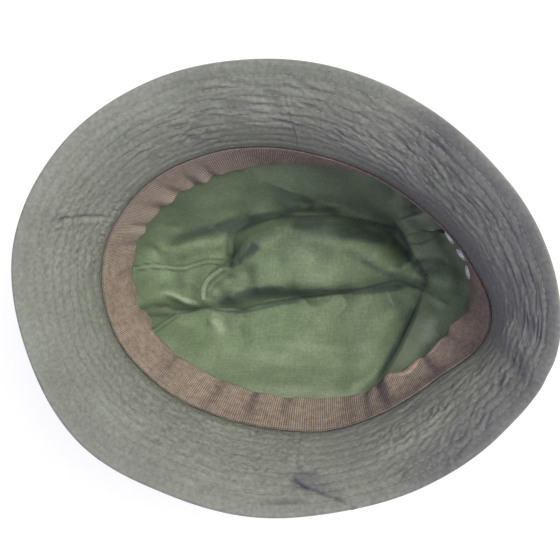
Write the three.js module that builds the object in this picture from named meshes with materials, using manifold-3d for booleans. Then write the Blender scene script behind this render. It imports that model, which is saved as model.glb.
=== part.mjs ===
// Soft fishing hat with a stitched brim, lying upside down on its crown.
// Millimetres, +Z up. X runs along the length of the brim's oval, Y across it.
// The origin is under the middle of the brim's box, on the surface that the crown rests on.
//
// The crown is one slumped bag. Its inside surface is a stack of rings from the head opening down to the
// surface it lies on, and then up again over a long hump that is pushed into the hat. The seam between the
// crown's side and its oval tip wanders over the rings, because the crown has slumped to one side. Every
// layer of cloth is that same surface moved outwards by its own depth, so the layers follow each other.
import * as THREE from "three";
import { mergeVertices } from "three/addons/utils/BufferGeometryUtils.js";
import Module from "manifold-3d";

const wasm = await Module();
wasm.setup();

// ---------- driving dimensions ----------
const CENTRE = { x: 5.3, y: -2.7 };      // middle of the head opening, from the middle of the brim's box
const OPENING_HEIGHT = 66;               // top of the crown's side, where the brim is sewn on
const LINING_THICK = 0.9;
const SHELL_THICK = 1.3;
const LAYER_GAP = 0.45;                  // air between touching layers
const BRIM_THICK = 2.6;
const BRIM_LIFT = 1.3;                   // brim's inner edge above the top of the crown's side
const RIBBON_THICK = 1.0;
const BRIM_FLARE = 0.45;                 // 0 is a straight cone, more bends the brim outwards to its edge
const SEAM_GAP = 0.2;                    // half the gap between the side's and the tip's edges
const AROUND = 44;                       // mesh columns round the hat
const OPENING_OVAL = { length: 106, width: 75 };     // the even ovals that the columns are spaced on
const EDGE_OVAL = { length: 139, width: 115 };

const WALL_THICK = LINING_THICK + LAYER_GAP + SHELL_THICK;
const FOOT_HEIGHT = WALL_THICK;          // the lining's face where the crown lies on the surface
const RESTS_WITHIN = 0.05;

// Head opening and brim edge, measured from the middle of the opening: one row per azimuth in degrees.
// The seam between the side and the tip is given as a place between the rings below.
const SECTIONS = [
  { azimuth: -10, opening: 103, edge: 134, edgeHeight: 110, seam: 6.1 },
  { azimuth: 12.5, opening: 90.5, edge: 128, edgeHeight: 110, seam: 6.4 },
  { azimuth: 35, opening: 78.5, edge: 119.5, edgeHeight: 107, seam: 6.3 },
  { azimuth: 57.5, opening: 73, edge: 115.5, edgeHeight: 103, seam: 6 },
  { azimuth: 80, opening: 72.5, edge: 116.5, edgeHeight: 101, seam: 6 },
  { azimuth: 102.5, opening: 78, edge: 121, edgeHeight: 102, seam: 6.05 },
  { azimuth: 125, opening: 88, edge: 130, edgeHeight: 104, seam: 6.25 },
  { azimuth: 147.5, opening: 100.5, edge: 140, edgeHeight: 106, seam: 6.65 },
  { azimuth: 170, opening: 108.5, edge: 145, edgeHeight: 107, seam: 6.8 },
  { azimuth: 192.5, opening: 105, edge: 139.5, edgeHeight: 108, seam: 6.3 },
  { azimuth: 215, opening: 93.5, edge: 133.5, edgeHeight: 108, seam: 3.7 },
  { azimuth: 237.5, opening: 82.5, edge: 120.5, edgeHeight: 108, seam: 1.8 },
  { azimuth: 260, opening: 77, edge: 114.5, edgeHeight: 107, seam: 1.4 },
  { azimuth: 282.5, opening: 77.5, edge: 111.5, edgeHeight: 107, seam: 1.5 },
  { azimuth: 305, opening: 79.5, edge: 116, edgeHeight: 107, seam: 2.7 },
  { azimuth: 327.5, opening: 87, edge: 125, edgeHeight: 107, seam: 5.1 },
];

// Rings of the crown's inside surface below the opening: middle, half length, half width, turn and height.
const RINGS = [
  { ring: "ribbon_foot", x: -3, y: 2.5, halfLength: 95.5, halfWidth: 66, turn: -4, height: 42 },
  { ring: "wall_middle", x: 1, y: 5.5, halfLength: 88, halfWidth: 55.5, turn: -3, height: 24 },
  { ring: "wall_low", x: 0, y: 9, halfLength: 78, halfWidth: 43.5, turn: 0, height: 10 },
  { ring: "foot_outer", x: 1, y: 12, halfLength: 69, halfWidth: 33.5, turn: 3, height: FOOT_HEIGHT },
  { ring: "foot_inner", x: 1, y: 12.5, halfLength: 64, halfWidth: 27.5, turn: 4, height: FOOT_HEIGHT },
  { ring: "tip_seam", x: -1, y: 12, halfLength: 57, halfWidth: 20, turn: 4, height: 9 },
  { ring: "tip_shoulder", x: -1, y: 10.5, halfLength: 38, halfWidth: 12.5, turn: 4, height: 17.5 },
  { ring: "tip_middle", x: 0, y: 10, halfLength: 0, halfWidth: 0, turn: 4, height: 20 },
];
const RIBBON_RING = 1;
const FLOOR_RING = 5;                    // the last ring that lies on the surface
const LAST_RING = RINGS.length;

// Folds pressed into the cloth: rise above the slumped surface (below it if negative) along a path.
const FOLDS = [
  { fold: "tip_crest", rise: 3.5, reach: 12, path: [[-46, -5], [-22, -1], [-5, -1], [30, 2]] },
  { fold: "tip_crease", rise: -2.5, reach: 10, path: [[20, 12], [33, 8], [50, 3]] },
  { fold: "left_valley", rise: -5, reach: 11, path: [[-98, -19], [-84, -20], [-64, -13]] },
  { fold: "left_soft_valley", rise: -3, reach: 9, path: [[-36, -16], [-48, -24], [-46, -33], [-38, -41]] },
  { fold: "back_crease", rise: -5, reach: 13, path: [[-25, 54], [-5, 47], [18, 41], [50, 33]] },
  { fold: "right_fold", rise: 4, reach: 13, path: [[44, 50], [52, 35], [59, 19]] },
  { fold: "right_valley", rise: -4.5, reach: 14, path: [[64, -5], [60, -18], [55, -28], [48, -42], [37, -58]] },
  { fold: "right_bump", rise: 3, reach: 12, path: [[70, 0], [80, -6]] },
];

// Vent eyelets through the right of the crown's side, by their place on the surface, and how that is searched.
const EYELETS = [
  { name: "eyelet_1", x: 80, y: 27.5, height: 33 },
  { name: "eyelet_2", x: 86, y: 18.5, height: 33 },
  { name: "eyelet_3", x: 90.5, y: 8, height: 33 },
];
const EYELET = { flange: 4.7, barrel: 2.9, bore: 2.2, hole: 3.3, sheet: 0.6, clear: 0.95, sides: 12, pin: 16 };
const SEARCH = { rounds: 7, steps: 12, shrink: 5, ring: 2, lowest: 4 };

// ---------- curves and surfaces ----------
const rad = THREE.MathUtils.degToRad;

function catmull(a, b, c, d, f) {
  const bend = 2 * a - 5 * b + 4 * c - d;
  const twist = 3 * (b - c) + d - a;
  return b + 0.5 * f * (c - a + f * (bend + f * twist));
}

function sectionAt(azimuth, column) {
  const count = SECTIONS.length;
  const place = ((azimuth - SECTIONS[0].azimuth) / 360) * count;
  const first = Math.floor(place);
  const row = (k) => SECTIONS[(((first + k) % count) + count) % count][column];
  return catmull(row(-1), row(0), row(1), row(2), place - first);
}

// A point of the opening or the brim's edge; u is the angle round the hat in radians.
function sectionPoint(u, column, oval, height) {
  const azimuth = Math.atan2(oval.width * Math.sin(u), oval.length * Math.cos(u));
  const reach = sectionAt(THREE.MathUtils.radToDeg(azimuth), column);
  return new THREE.Vector3(reach * Math.cos(azimuth), reach * Math.sin(azimuth), height);
}

function openingPoint(u) {
  return sectionPoint(u, "opening", OPENING_OVAL, OPENING_HEIGHT);
}

function edgePoint(u) {
  const point = sectionPoint(u, "edge", EDGE_OVAL, 0);
  point.z = sectionAt(THREE.MathUtils.radToDeg(Math.atan2(point.y, point.x)), "edgeHeight");
  return point;
}

function ringPoint(ring, u) {
  const turn = rad(ring.turn);
  const along = ring.halfLength * Math.cos(u - turn);
  const across = ring.halfWidth * Math.sin(u - turn);
  return new THREE.Vector3(
    ring.x + along * Math.cos(turn) - across * Math.sin(turn),
    ring.y + along * Math.sin(turn) + across * Math.cos(turn),
    ring.height,
  );
}

function stackPoint(index, u) {
  if (index < 0) {
    return openingPoint(u).multiplyScalar(2).sub(ringPoint(RINGS[0], u));
  }
  if (index === 0) {
    return openingPoint(u);
  }
  if (index > LAST_RING) {
    return ringPoint(RINGS[LAST_RING - 2], u + Math.PI);
  }
  return ringPoint(RINGS[index - 1], u);
}

// The crown's inside surface without folds: t counts rings from the opening (0) to the tip's middle.
function bagPoint(u, t) {
  const first = Math.min(Math.floor(t), LAST_RING - 1);
  const near = [-1, 0, 1, 2].map((k) => stackPoint(first + k, u));
  const f = t - first;
  const mix = (axis) => catmull(near[0][axis], near[1][axis], near[2][axis], near[3][axis], f);
  return new THREE.Vector3(mix("x"), mix("y"), mix("z"));
}

function bagNormal(u, t) {
  const step = 0.01;
  const along = bagPoint(u + step, t).sub(bagPoint(u - step, t));
  const low = Math.max(t - step, 0);
  const high = Math.min(t + step, LAST_RING);
  const down = bagPoint(u, high).sub(bagPoint(u, low));
  const normal = down.cross(along);
  return normal.lengthSq() < 1e-9 ? new THREE.Vector3(0, 0, -1) : normal.normalize();
}

function distanceToPath(x, y, path) {
  let nearest = Infinity;
  for (let k = 0; k + 1 < path.length; k += 1) {
    const [ax, ay] = path[k];
    const [bx, by] = path[k + 1];
    const run = (bx - ax) ** 2 + (by - ay) ** 2;
    const f = THREE.MathUtils.clamp(((x - ax) * (bx - ax) + (y - ay) * (by - ay)) / run, 0, 1);
    nearest = Math.min(nearest, Math.hypot(x - ax - f * (bx - ax), y - ay - f * (by - ay)));
  }
  return nearest;
}

function foldRise(x, y) {
  let rise = 0;
  for (const fold of FOLDS) {
    const f = distanceToPath(x, y, fold.path) / fold.reach;
    if (f < 1) {
      rise += fold.rise * (1 - f * f) ** 2;
    }
  }
  return rise;
}

// A point of the crown at a depth outwards from the lining's face. The cloth lies flat where it rests.
function crownPoint(u, t, depth) {
  const point = bagPoint(u, t);
  const rise = foldRise(point.x, point.y) * Math.min(t, 1);
  const rests = point.z < FOOT_HEIGHT + RESTS_WITHIN;
  const outwards = rests ? new THREE.Vector3(0, 0, -1) : bagNormal(u, t);
  point.addScaledVector(outwards, depth - rise);
  point.z = Math.max(point.z, WALL_THICK - depth);
  return point;
}

function brimPoint(u, s, depth) {
  const start = openingPoint(u);
  start.z += BRIM_LIFT;
  const end = edgePoint(u);
  const out = s * (1 - BRIM_FLARE) + BRIM_FLARE * s * s;
  const up = s * (1 + BRIM_FLARE) - BRIM_FLARE * s * s;
  const point = new THREE.Vector3(
    start.x + (end.x - start.x) * out,
    start.y + (end.y - start.y) * out,
    start.z + (end.z - start.z) * up,
  );
  const slopeOut = 1 - BRIM_FLARE + 2 * BRIM_FLARE * s;
  const slopeUp = 1 + BRIM_FLARE - 2 * BRIM_FLARE * s;
  const run = Math.hypot(end.x - start.x, end.y - start.y) * slopeOut;
  const rise = (end.z - start.z) * slopeUp;
  const outwards = new THREE.Vector3(end.x - start.x, end.y - start.y, 0).normalize();
  const normal = outwards.multiplyScalar(rise).setZ(-run).normalize();
  return point.addScaledVector(normal, depth);
}

// ---------- closed sheets ----------
// A wall of cloth between two depths of a surface: place(u, row, depth) gives its points. With a pole the
// last row closes on one point, as the tip does. Without one the wall is a closed band.
function sheetGeometry(rows, inner, outer, place, pole) {
  const positions = [];
  const index = [];
  const layers = [inner, outer].map((depth) => rows.map((row) => {
    const first = positions.length / 3;
    for (let k = 0; k < AROUND; k += 1) {
      positions.push(...place((2 * Math.PI * k) / AROUND, row, depth).toArray());
    }
    return first;
  }));
  const quad = (a, b, c, d) => index.push(a, b, c, a, c, d);
  const strip = (top, bottom, flip) => {
    for (let k = 0; k < AROUND; k += 1) {
      const next = (k + 1) % AROUND;
      if (flip) {
        quad(top + k, bottom + k, bottom + next, top + next);
      } else {
        quad(top + k, top + next, bottom + next, bottom + k);
      }
    }
  };
  const [inside, outside] = layers;
  for (let k = 0; k + 1 < rows.length; k += 1) {
    strip(inside[k], inside[k + 1], false);
    strip(outside[k], outside[k + 1], true);
  }
  strip(inside[0], outside[0], true);
  if (pole === undefined) {
    strip(inside.at(-1), outside.at(-1), false);
  } else {
    for (const [ring, depth, flip] of [[inside.at(-1), inner, false], [outside.at(-1), outer, true]]) {
      const middle = positions.length / 3;
      positions.push(...place(0, pole, depth).toArray());
      for (let k = 0; k < AROUND; k += 1) {
        const next = (k + 1) % AROUND;
        index.push(...(flip ? [ring + next, ring + k, middle] : [ring + k, ring + next, middle]));
      }
    }
  }
  const geometry = new THREE.BufferGeometry();
  geometry.setAttribute("position", new THREE.Float32BufferAttribute(positions, 3));
  geometry.setIndex(index);
  return geometry;
}

function solidOf(geometry) {
  const bare = geometry.clone();
  bare.deleteAttribute("normal");
  bare.deleteAttribute("uv");
  const merged = mergeVertices(bare, 1e-4);
  return new wasm.Manifold(new wasm.Mesh({
    numProp: 3,
    vertProperties: new Float32Array(merged.attributes.position.array),
    triVerts: new Uint32Array(merged.index.array),
  }));
}

function geometryOf(solid) {
  const mesh = solid.getMesh();
  const geometry = new THREE.BufferGeometry();
  geometry.setAttribute("position", new THREE.BufferAttribute(mesh.vertProperties, 3));
  geometry.setIndex(new THREE.BufferAttribute(mesh.triVerts, 1));
  return geometry;
}

// ---------- crown ----------
const SIDE_ROWS = [0, 0.5, RIBBON_RING, 1.5, 2, 3, 3.5, 4, FLOOR_RING, 6];
const TIP_SHARES = [0, 0.16, 0.3, 0.4, 0.53, 0.66, 0.78, 0.89];
const SEAM_ROW = SIDE_ROWS.at(-1);
const SHORT_SIDE = { from: 4.5, to: 5.7 };     // seams between which the side's rows leave their rings

function seamRing(u) {
  return sectionAt(THREE.MathUtils.radToDeg(u), "seam");
}

function seamPoint(u) {
  return bagPoint(u, seamRing(u));
}

// Half the seam's gap, counted in rings. It is measured square to the seam, which runs slanting in places.
function seamStep(u, ring) {
  const near = 0.02;
  const along = seamPoint(u + near).sub(seamPoint(u - near));
  const down = bagPoint(u, ring + near).sub(bagPoint(u, ring - near)).divideScalar(2 * near);
  return (SEAM_GAP * along.length()) / down.cross(along).length();
}

// The rows above the ribbon's foot keep to their rings. Below it they follow the seam where that runs high.
function sideRing(u, row) {
  const seam = seamRing(u);
  if (row <= RIBBON_RING) {
    return row;
  }
  if (row === SEAM_ROW) {
    return seam - seamStep(u, seam);
  }
  const squeezed = RIBBON_RING + ((row - RIBBON_RING) * (seam - RIBBON_RING)) / (SEAM_ROW - RIBBON_RING);
  const full = THREE.MathUtils.smoothstep(seam, SHORT_SIDE.from, SHORT_SIDE.to);
  return squeezed + (row - squeezed) * full;
}

function tipRing(u, share) {
  const seam = seamRing(u);
  const start = seam + seamStep(u, seam);
  return start + (LAST_RING - start) * share;
}

function sideLayer(rows, inner, thick) {
  return sheetGeometry(rows, inner, inner + thick, (u, row, depth) => crownPoint(u, sideRing(u, row), depth));
}

function tipLayer(inner, thick) {
  const place = (u, share, depth) => crownPoint(u, tipRing(u, share), depth);
  return sheetGeometry(TIP_SHARES, inner, inner + thick, place, 1);
}

// ---------- eyelets ----------
// The place on the crown's side that lies nearest to a named point, found by stepping over the surface.
function surfacePlace(target) {
  const { rounds, steps, shrink, ring, lowest } = SEARCH;
  let best = { gap: Infinity, u: 0, t: ring };
  let spanU = Math.PI;
  let spanT = ring;
  for (let round = 0; round < rounds; round += 1) {
    const from = { ...best };
    for (let i = -steps; i <= steps; i += 1) {
      for (let j = -steps; j <= steps; j += 1) {
        const u = from.u + (spanU * i) / steps;
        const t = THREE.MathUtils.clamp(from.t + (spanT * j) / steps, 0, lowest);
        const gap = crownPoint(u, t, 0).distanceTo(target);
        if (gap < best.gap) {
          best = { gap, u, t };
        }
      }
    }
    spanU /= shrink;
    spanT /= shrink;
  }
  return best;
}

function eyeletFrame(eyelet) {
  const place = surfacePlace(new THREE.Vector3(eyelet.x, eyelet.y, eyelet.height));
  const middle = crownPoint(place.u, place.t, 0);
  const outer = crownPoint(place.u, place.t, WALL_THICK);
  const turn = new THREE.Quaternion();
  turn.setFromUnitVectors(new THREE.Vector3(0, 1, 0), outer.clone().sub(middle).normalize());
  return { middle, turn };
}

function eyeletGeometry() {
  const { flange, barrel, bore, sheet, clear, sides } = EYELET;
  const low = -clear - sheet;
  const high = WALL_THICK + clear + sheet;
  const profile = [
    [bore, low + sheet * 0.5],
    [barrel, low],
    [flange - sheet * 0.5, low + sheet * 0.3],
    [flange, low + sheet],
    [barrel, low + sheet],
    [barrel, high - sheet],
    [flange, high - sheet],
    [flange - sheet * 0.5, high - sheet * 0.3],
    [barrel, high],
    [bore, high - sheet * 0.5],
  ];
  const points = [...profile, profile[0]].map(([r, h]) => new THREE.Vector2(r, h));
  return new THREE.LatheGeometry(points, sides);
}

function eyeletHole(frame) {
  const pin = new THREE.CylinderGeometry(EYELET.hole, EYELET.hole, EYELET.pin, EYELET.sides);
  pin.translate(0, WALL_THICK / 2, 0);
  pin.applyQuaternion(frame.turn);
  pin.translate(frame.middle.x, frame.middle.y, frame.middle.z);
  return solidOf(pin);
}

function withHoles(geometry, frames) {
  let solid = solidOf(geometry);
  for (const frame of frames) {
    solid = solid.subtract(eyeletHole(frame));
  }
  return geometryOf(solid);
}

// ---------- materials ----------
function finish(color, roughness, metalness = 0) {
  return new THREE.MeshStandardMaterial({ color, roughness, metalness });
}

const SHELL_CLOTH = finish(0x89897e, 0.55);
const LINING_CLOTH = finish(0x8e9979, 0.9);
const RIBBON_CLOTH = finish(0x908479, 0.85);
const EYELET_METAL = finish(0xc9cacc, 0.3, 1);

// ---------- the hat ----------
const hat = new THREE.Group();
hat.position.set(CENTRE.x, CENTRE.y, 0);

function add(name, geometry, material) {
  const mesh = new THREE.Mesh(geometry, material);
  mesh.name = name;
  hat.add(mesh);
  return mesh;
}

const frames = EYELETS.map(eyeletFrame);
const shellDepth = LINING_THICK + LAYER_GAP;

add("crown_side", withHoles(sideLayer(SIDE_ROWS, shellDepth, SHELL_THICK), frames), SHELL_CLOTH);
add("crown_tip", tipLayer(shellDepth, SHELL_THICK), SHELL_CLOTH);
add("lining_side", withHoles(sideLayer(SIDE_ROWS, 0, LINING_THICK), frames), LINING_CLOTH);
add("lining_tip", tipLayer(0, LINING_THICK), LINING_CLOTH);
add("brim", sheetGeometry([1, 0.65, 0.3, 0], 0, BRIM_THICK, brimPoint), SHELL_CLOTH);
add("sweatband", sideLayer([0, 0.5, RIBBON_RING], -LAYER_GAP - RIBBON_THICK, RIBBON_THICK), RIBBON_CLOTH);
EYELETS.forEach((eyelet, k) => {
  const ring = add(eyelet.name, eyeletGeometry(), EYELET_METAL);
  ring.position.copy(frames[k].middle);
  ring.quaternion.copy(frames[k].turn);
});

export default hat;
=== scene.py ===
"""Soft fishing hat, lying upside down on its crown: the finished look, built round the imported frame.

Every sheet of cloth follows one form, the form that the frame's solids have. The form is worked out in
millimetres from the middle of the head opening, and a mesh is written in metres in the frame's own place.
"""

import logging
import math
from dataclasses import dataclass
from enum import Enum
from functools import cached_property
from typing import NamedTuple, Sequence

import bpy
import numpy as np
from mathutils import Matrix, Vector

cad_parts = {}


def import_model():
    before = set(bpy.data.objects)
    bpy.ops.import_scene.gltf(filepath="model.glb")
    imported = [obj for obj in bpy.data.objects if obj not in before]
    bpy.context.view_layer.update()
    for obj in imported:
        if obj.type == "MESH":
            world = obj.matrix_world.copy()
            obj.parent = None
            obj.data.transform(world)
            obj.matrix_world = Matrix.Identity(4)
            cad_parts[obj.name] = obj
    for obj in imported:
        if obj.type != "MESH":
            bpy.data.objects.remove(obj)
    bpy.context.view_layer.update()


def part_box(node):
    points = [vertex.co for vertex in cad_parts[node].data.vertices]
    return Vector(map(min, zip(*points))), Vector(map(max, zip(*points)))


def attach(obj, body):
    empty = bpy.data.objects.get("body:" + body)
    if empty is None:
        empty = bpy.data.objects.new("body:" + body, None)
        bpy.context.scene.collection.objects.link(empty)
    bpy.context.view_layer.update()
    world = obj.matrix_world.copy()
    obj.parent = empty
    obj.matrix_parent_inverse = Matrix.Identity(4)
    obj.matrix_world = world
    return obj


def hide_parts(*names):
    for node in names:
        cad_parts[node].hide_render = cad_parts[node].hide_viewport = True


LOG = logging.getLogger("hat")
Array = np.ndarray
Colour = tuple[float, float, float]
Path = tuple[tuple[float, float], ...]

MM = 0.001
FULL_TURN = 2 * math.pi
ORIGIN = np.array([5.3, -2.7, 0.0])      # middle of the opening in the frame, millimetres


# ---- the form that all the cloth shares
class Section(NamedTuple):
    """Reach of the opening and of the brim's edge at one azimuth, and the edge's height."""

    azimuth: float
    opening: float
    edge: float
    edge_height: float


class Ring(NamedTuple):
    """One oval of the crown's inside surface, counted from the opening down and over the tip."""

    x: float
    y: float
    half_length: float
    half_width: float
    turn: float
    height: float


SECTIONS = tuple(Section(*row) for row in (
    (-10, 103, 134, 110), (12.5, 90.5, 128, 110), (35, 78.5, 119.5, 107), (57.5, 73, 115.5, 103),
    (80, 72.5, 116.5, 101), (102.5, 78, 121, 102), (125, 88, 130, 104), (147.5, 100.5, 140, 106),
    (170, 108.5, 145, 107), (192.5, 105, 139.5, 108), (215, 93.5, 133.5, 108), (237.5, 82.5, 120.5, 108),
    (260, 77, 114.5, 107), (282.5, 77.5, 111.5, 107), (305, 79.5, 116, 107), (327.5, 87, 125, 107),
))
FOOT = 2.65      # height of the lining where the crown stands on the floor
RINGS = tuple(Ring(*row) for row in (
    (-3, 2.5, 95.5, 66, -4, 42), (1, 5.5, 88, 55.5, -3, 24), (0, 9, 78, 43.5, 0, 10),
    (1, 12, 69, 33.5, 3, FOOT), (1, 12.5, 64, 27.5, 4, FOOT), (-1, 12, 57, 20, 4, 9),
    (-1, 10.5, 38, 12.5, 4, 17.5), (0, 10, 0, 0, 4, 20),
))


class Crease(NamedTuple):
    """A fold along a path: its rise, its reach left and right of it, 0 round to 1 sharp, and its shade."""

    rise: float
    left: float
    right: float
    sharp: float
    fade: float
    path: Path
    tone: float = 0.0


# How the cloth lies inside, below the sweatband: lines of places in plan with their heights.
HOLLOW = (
    # foot of the back wall, and the wall's own swells
    ((-84, 32, 13), (-68, 30, 6), (-56, 30, 3.5), (-48, 31, 2.6), (-38, 36, 2.6), (-18, 40, 2.6), (-3, 44, 2.8),
     (8, 43.5, 2.8), (19, 38.5, 2.6), (34, 36, 2.6), (46, 33.5, 3)),
    ((-76, 43, 28), (-60, 44, 19), (-40, 48, 17), (-24, 50, 15)),
    ((-27, 58, 30), (-11, 52, 21), (0, 48.5, 12)),
    ((8, 55, 20), (26, 51, 20)),
    # left wall, and the lit side of the hollow at its foot
    ((-95, 20, 27), (-96, 6, 25), (-95, -8, 25)),
    ((-88, 20, 15), (-90, 8, 8), (-89, -3, 8)),
    ((-82, 17, 12), (-74, 19, 10.5), (-66, 21, 9), (-58, 22, 7.5), (-52.5, 21, 6)),
    ((-77, 11, 5), (-66, 11, 4), (-57, 12, 4.5), (-52, 12, 4), (-46.5, 14, 3), (-47, 22, 2.8)),
    ((-86, 3, 3.5), (-80, 0, 4.5), (-74, 3, 6), (-68, 0, 8.5), (-70, -6, 8.5)),
    ((-86, -4, 9), (-81, -6, 9), (-74, -10.5, 9.5), (-67, -12.5, 10.5)),
    # tip's seam, its panel and the panel's edges
    ((-62.5, -12.5, 11.5), (-62, -5, 13), (-59.5, 0.7, 13.5), (-55, 5, 13.5), (-49.5, 8.5, 14.5), (-44, 12, 16),
     (-40, 18, 17.5), (-34, 25, 19), (-25, 28.5, 20.5), (-13, 32, 21.5), (-4, 33.5, 22), (9, 34, 23)),
    ((-56, -4, 9), (-47, 2, 11.5), (-36, 5, 14), (-18, 13, 18), (4, 15, 21), (24, 15, 24)),
    ((16, 29, 25), (24, 25, 26), (41, 18.4, 26), (54, 11, 24), (62, 4, 20)),
    ((-59, -11.5, 9), (-46, -9, 14), (-28, -4, 19), (-19, -2.5, 20), (-5, -4.5, 19), (12, -5, 16.5),
     (28, -3.5, 14)),
    # valley along the front of the tip, and the floor before it
    ((-98, -12, 27), (-94, -17, 16), (-87, -20.5, 6), (-75, -19, 3), (-64, -18, 2.6), (-46, -18.7, 2.6),
     (-24, -12, 2.6), (-7, -10, 2.6), (14, -8, 3), (34, -6, 6), (48, -2, 9), (57, -3, 11)),
    ((-78, -27, 10), (-65, -36, 13), (-50, -45, 16), (-30, -50, 17), (-5, -51, 16), (20, -50, 17)),
    ((-60, -26, 3.5), (-50, -33, 6), (-38, -26, 2.6), (-20, -24, 2.8), (0, -22, 3), (20, -18, 4.5),
     (38, -14, 8)),
    ((-22, -38, 6), (12, -38, 7)),
    # fold of the right wall, what hangs behind it, and the pocket under it
    ((40, 55.5, 37), (45.5, 46, 33), (51, 35.5, 30), (56, 25, 28), (59.5, 14, 25)),
    ((66, 34, 32), (64, 23, 28), (71, 26, 29), (76, 17, 27), (82, 8, 27)),
    ((80, 27.5, 34), (86, 18.5, 33), (90.5, 8, 33), (91, -5, 33)),
    ((32, 47, 14), (38, 37, 4), (42, 30, 3), (48, 22, 3), (53, 15, 6)),
    # bump at the right end
    ((60, 10, 18), (66, 12.5, 22), (74, 13, 24)),
    ((70, 4, 28), (77, -1, 31), (82, 5, 30)),
    ((66, 0, 20), (65, -4, 13), (71, -8, 17), (82, -11, 26)),
    # valley down the front right, and its lips
    ((60, -10, 5), (56, -21, 3), (51.6, -30, 4), (46, -39, 8), (38.4, -51, 18)),
    ((67, -20, 18), (74, -15, 22), (63, -30, 21), (53, -43, 24)),
    ((51, -11, 8), (47, -22, 10), (42, -32, 12), (34, -43, 17)),
)


BELOW_BAND = (0.8, 1.25)      # rings over which the wall gives way to the hollow
PRESSED_DOWN = (0.8, 1.3)     # rings over which creases turn from across the wall to upright
SAG_START = (-9, -21)         # angles over which the lining and the ribbon begin to sag, at the front right
SAG_END = (-69, -57)          # angles over which the sag ends, at the front
BAND_SAG = (0.05, 0.95)       # rings over which the ribbon's sag grows, going down
LEAST_LEAN = 0.5              # how far the directions out of the wall lean away from the middle, at the least
LEAN_RINGS = (1.5, 1.25)      # rings over which that begins to hold, going up
SLACK = 0.1                   # how loosely the relief keeps to its known places
FLOOR_YIELD = 0.6             # how far cloth that would go through the floor is pushed back


def catmull(a: Array, b: Array, c: Array, d: Array, f: Array) -> Array:
    """Return the point at f from b to c on the smooth curve through a, b, c and d."""
    return b + 0.5 * f * (c - a + f * (2 * a - 5 * b + 4 * c - d + f * (3 * (b - c) + d - a)))


def smooth(low: float, high: float, value: Array) -> Array:
    """Return 0 below low, 1 above high, and an even S between them."""
    f = np.clip((value - low) / (high - low), 0, 1)
    return f * f * (3 - 2 * f)


def angle_of(u: Array) -> Array:
    """Return angles round the hat in degrees, between -180 and 180."""
    return np.degrees(np.arctan2(np.sin(u), np.cos(u)))


def turned(count: int) -> Array:
    """Return angles spaced evenly round the hat."""
    return np.linspace(0, FULL_TURN, count, endpoint=False)


def unit(vectors: Array) -> Array:
    """Return vectors at a length of 1."""
    return vectors / np.linalg.norm(vectors, axis=-1, keepdims=True)


def gap_between(angle: Array, middle: float) -> Array:
    """Return how far places are from a middle, in degrees round the hat between -180 and 180."""
    return (angle - middle + 180) % 360 - 180


def walk(line: Array) -> Array:
    """Return how far along a line each of its points is."""
    return np.concatenate([[0], np.cumsum(np.linalg.norm(np.diff(line, axis=0), axis=1))])


def places_on(line: Array, walked: Array, stops: Array) -> Array:
    """Return the places on a line, one row each, that are at these distances along it."""
    return np.stack([np.interp(stops, walked, column) for column in line.T], -1)


def curve_through(points: Sequence[Sequence[float]], step: float) -> Array:
    """Lay a smooth curve through points.

    Args:
        points: The points that it passes, in order.
        step: The distance between the points that are returned.

    Returns:
        Points along the curve, one row each.
    """
    knots = np.array(points, float)
    ends = np.vstack([2 * knots[0] - knots[1], knots, 2 * knots[-1] - knots[-2]])
    pieces = []
    for a, b, c, d in zip(ends, ends[1:], ends[2:], ends[3:]):
        count = max(2, int(np.linalg.norm(c - b) / step))
        f = np.linspace(0, 1, count, endpoint=False)[:, None]
        pieces.append(catmull(a, b, c, d, f))
    return np.vstack([*pieces, knots[-1:]])


def drift(x: Array, y: Array, seed: int, wrap: int = 0) -> Array:
    """Return smooth noise.

    Args:
        x: Place along, in swells.
        y: Place across, in swells.
        seed: Which noise.
        wrap: The number of swells after which the noise repeats along x, or 0.

    Returns:
        Values between about -1 and 1.
    """
    column, row = np.floor(x).astype(np.int64), np.floor(y).astype(np.int64)
    fx, fy = x - column, y - row

    def pull(i: int, j: int) -> Array:
        """Return the pull of the corner that is i along and j across."""
        a = (column + i) % wrap if wrap else column + i
        h = (a * 374761393 + (row + j) * 668265263 + seed * 1442695041) & 0xFFFFFFFF
        h = ((h ^ (h >> 13)) * 1274126177) & 0xFFFFFFFF
        angle = ((h ^ (h >> 16)) & 0xFFFF) * (FULL_TURN / 65536)
        return np.cos(angle) * (fx - i) + np.sin(angle) * (fy - j)

    sx, sy = (f * f * f * (f * (f * 6 - 15) + 10) for f in (fx, fy))
    low = pull(0, 0) * (1 - sx) + pull(1, 0) * sx
    high = pull(0, 1) * (1 - sx) + pull(1, 1) * sx
    return 1.5 * (low * (1 - sy) + high * sy)


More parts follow.
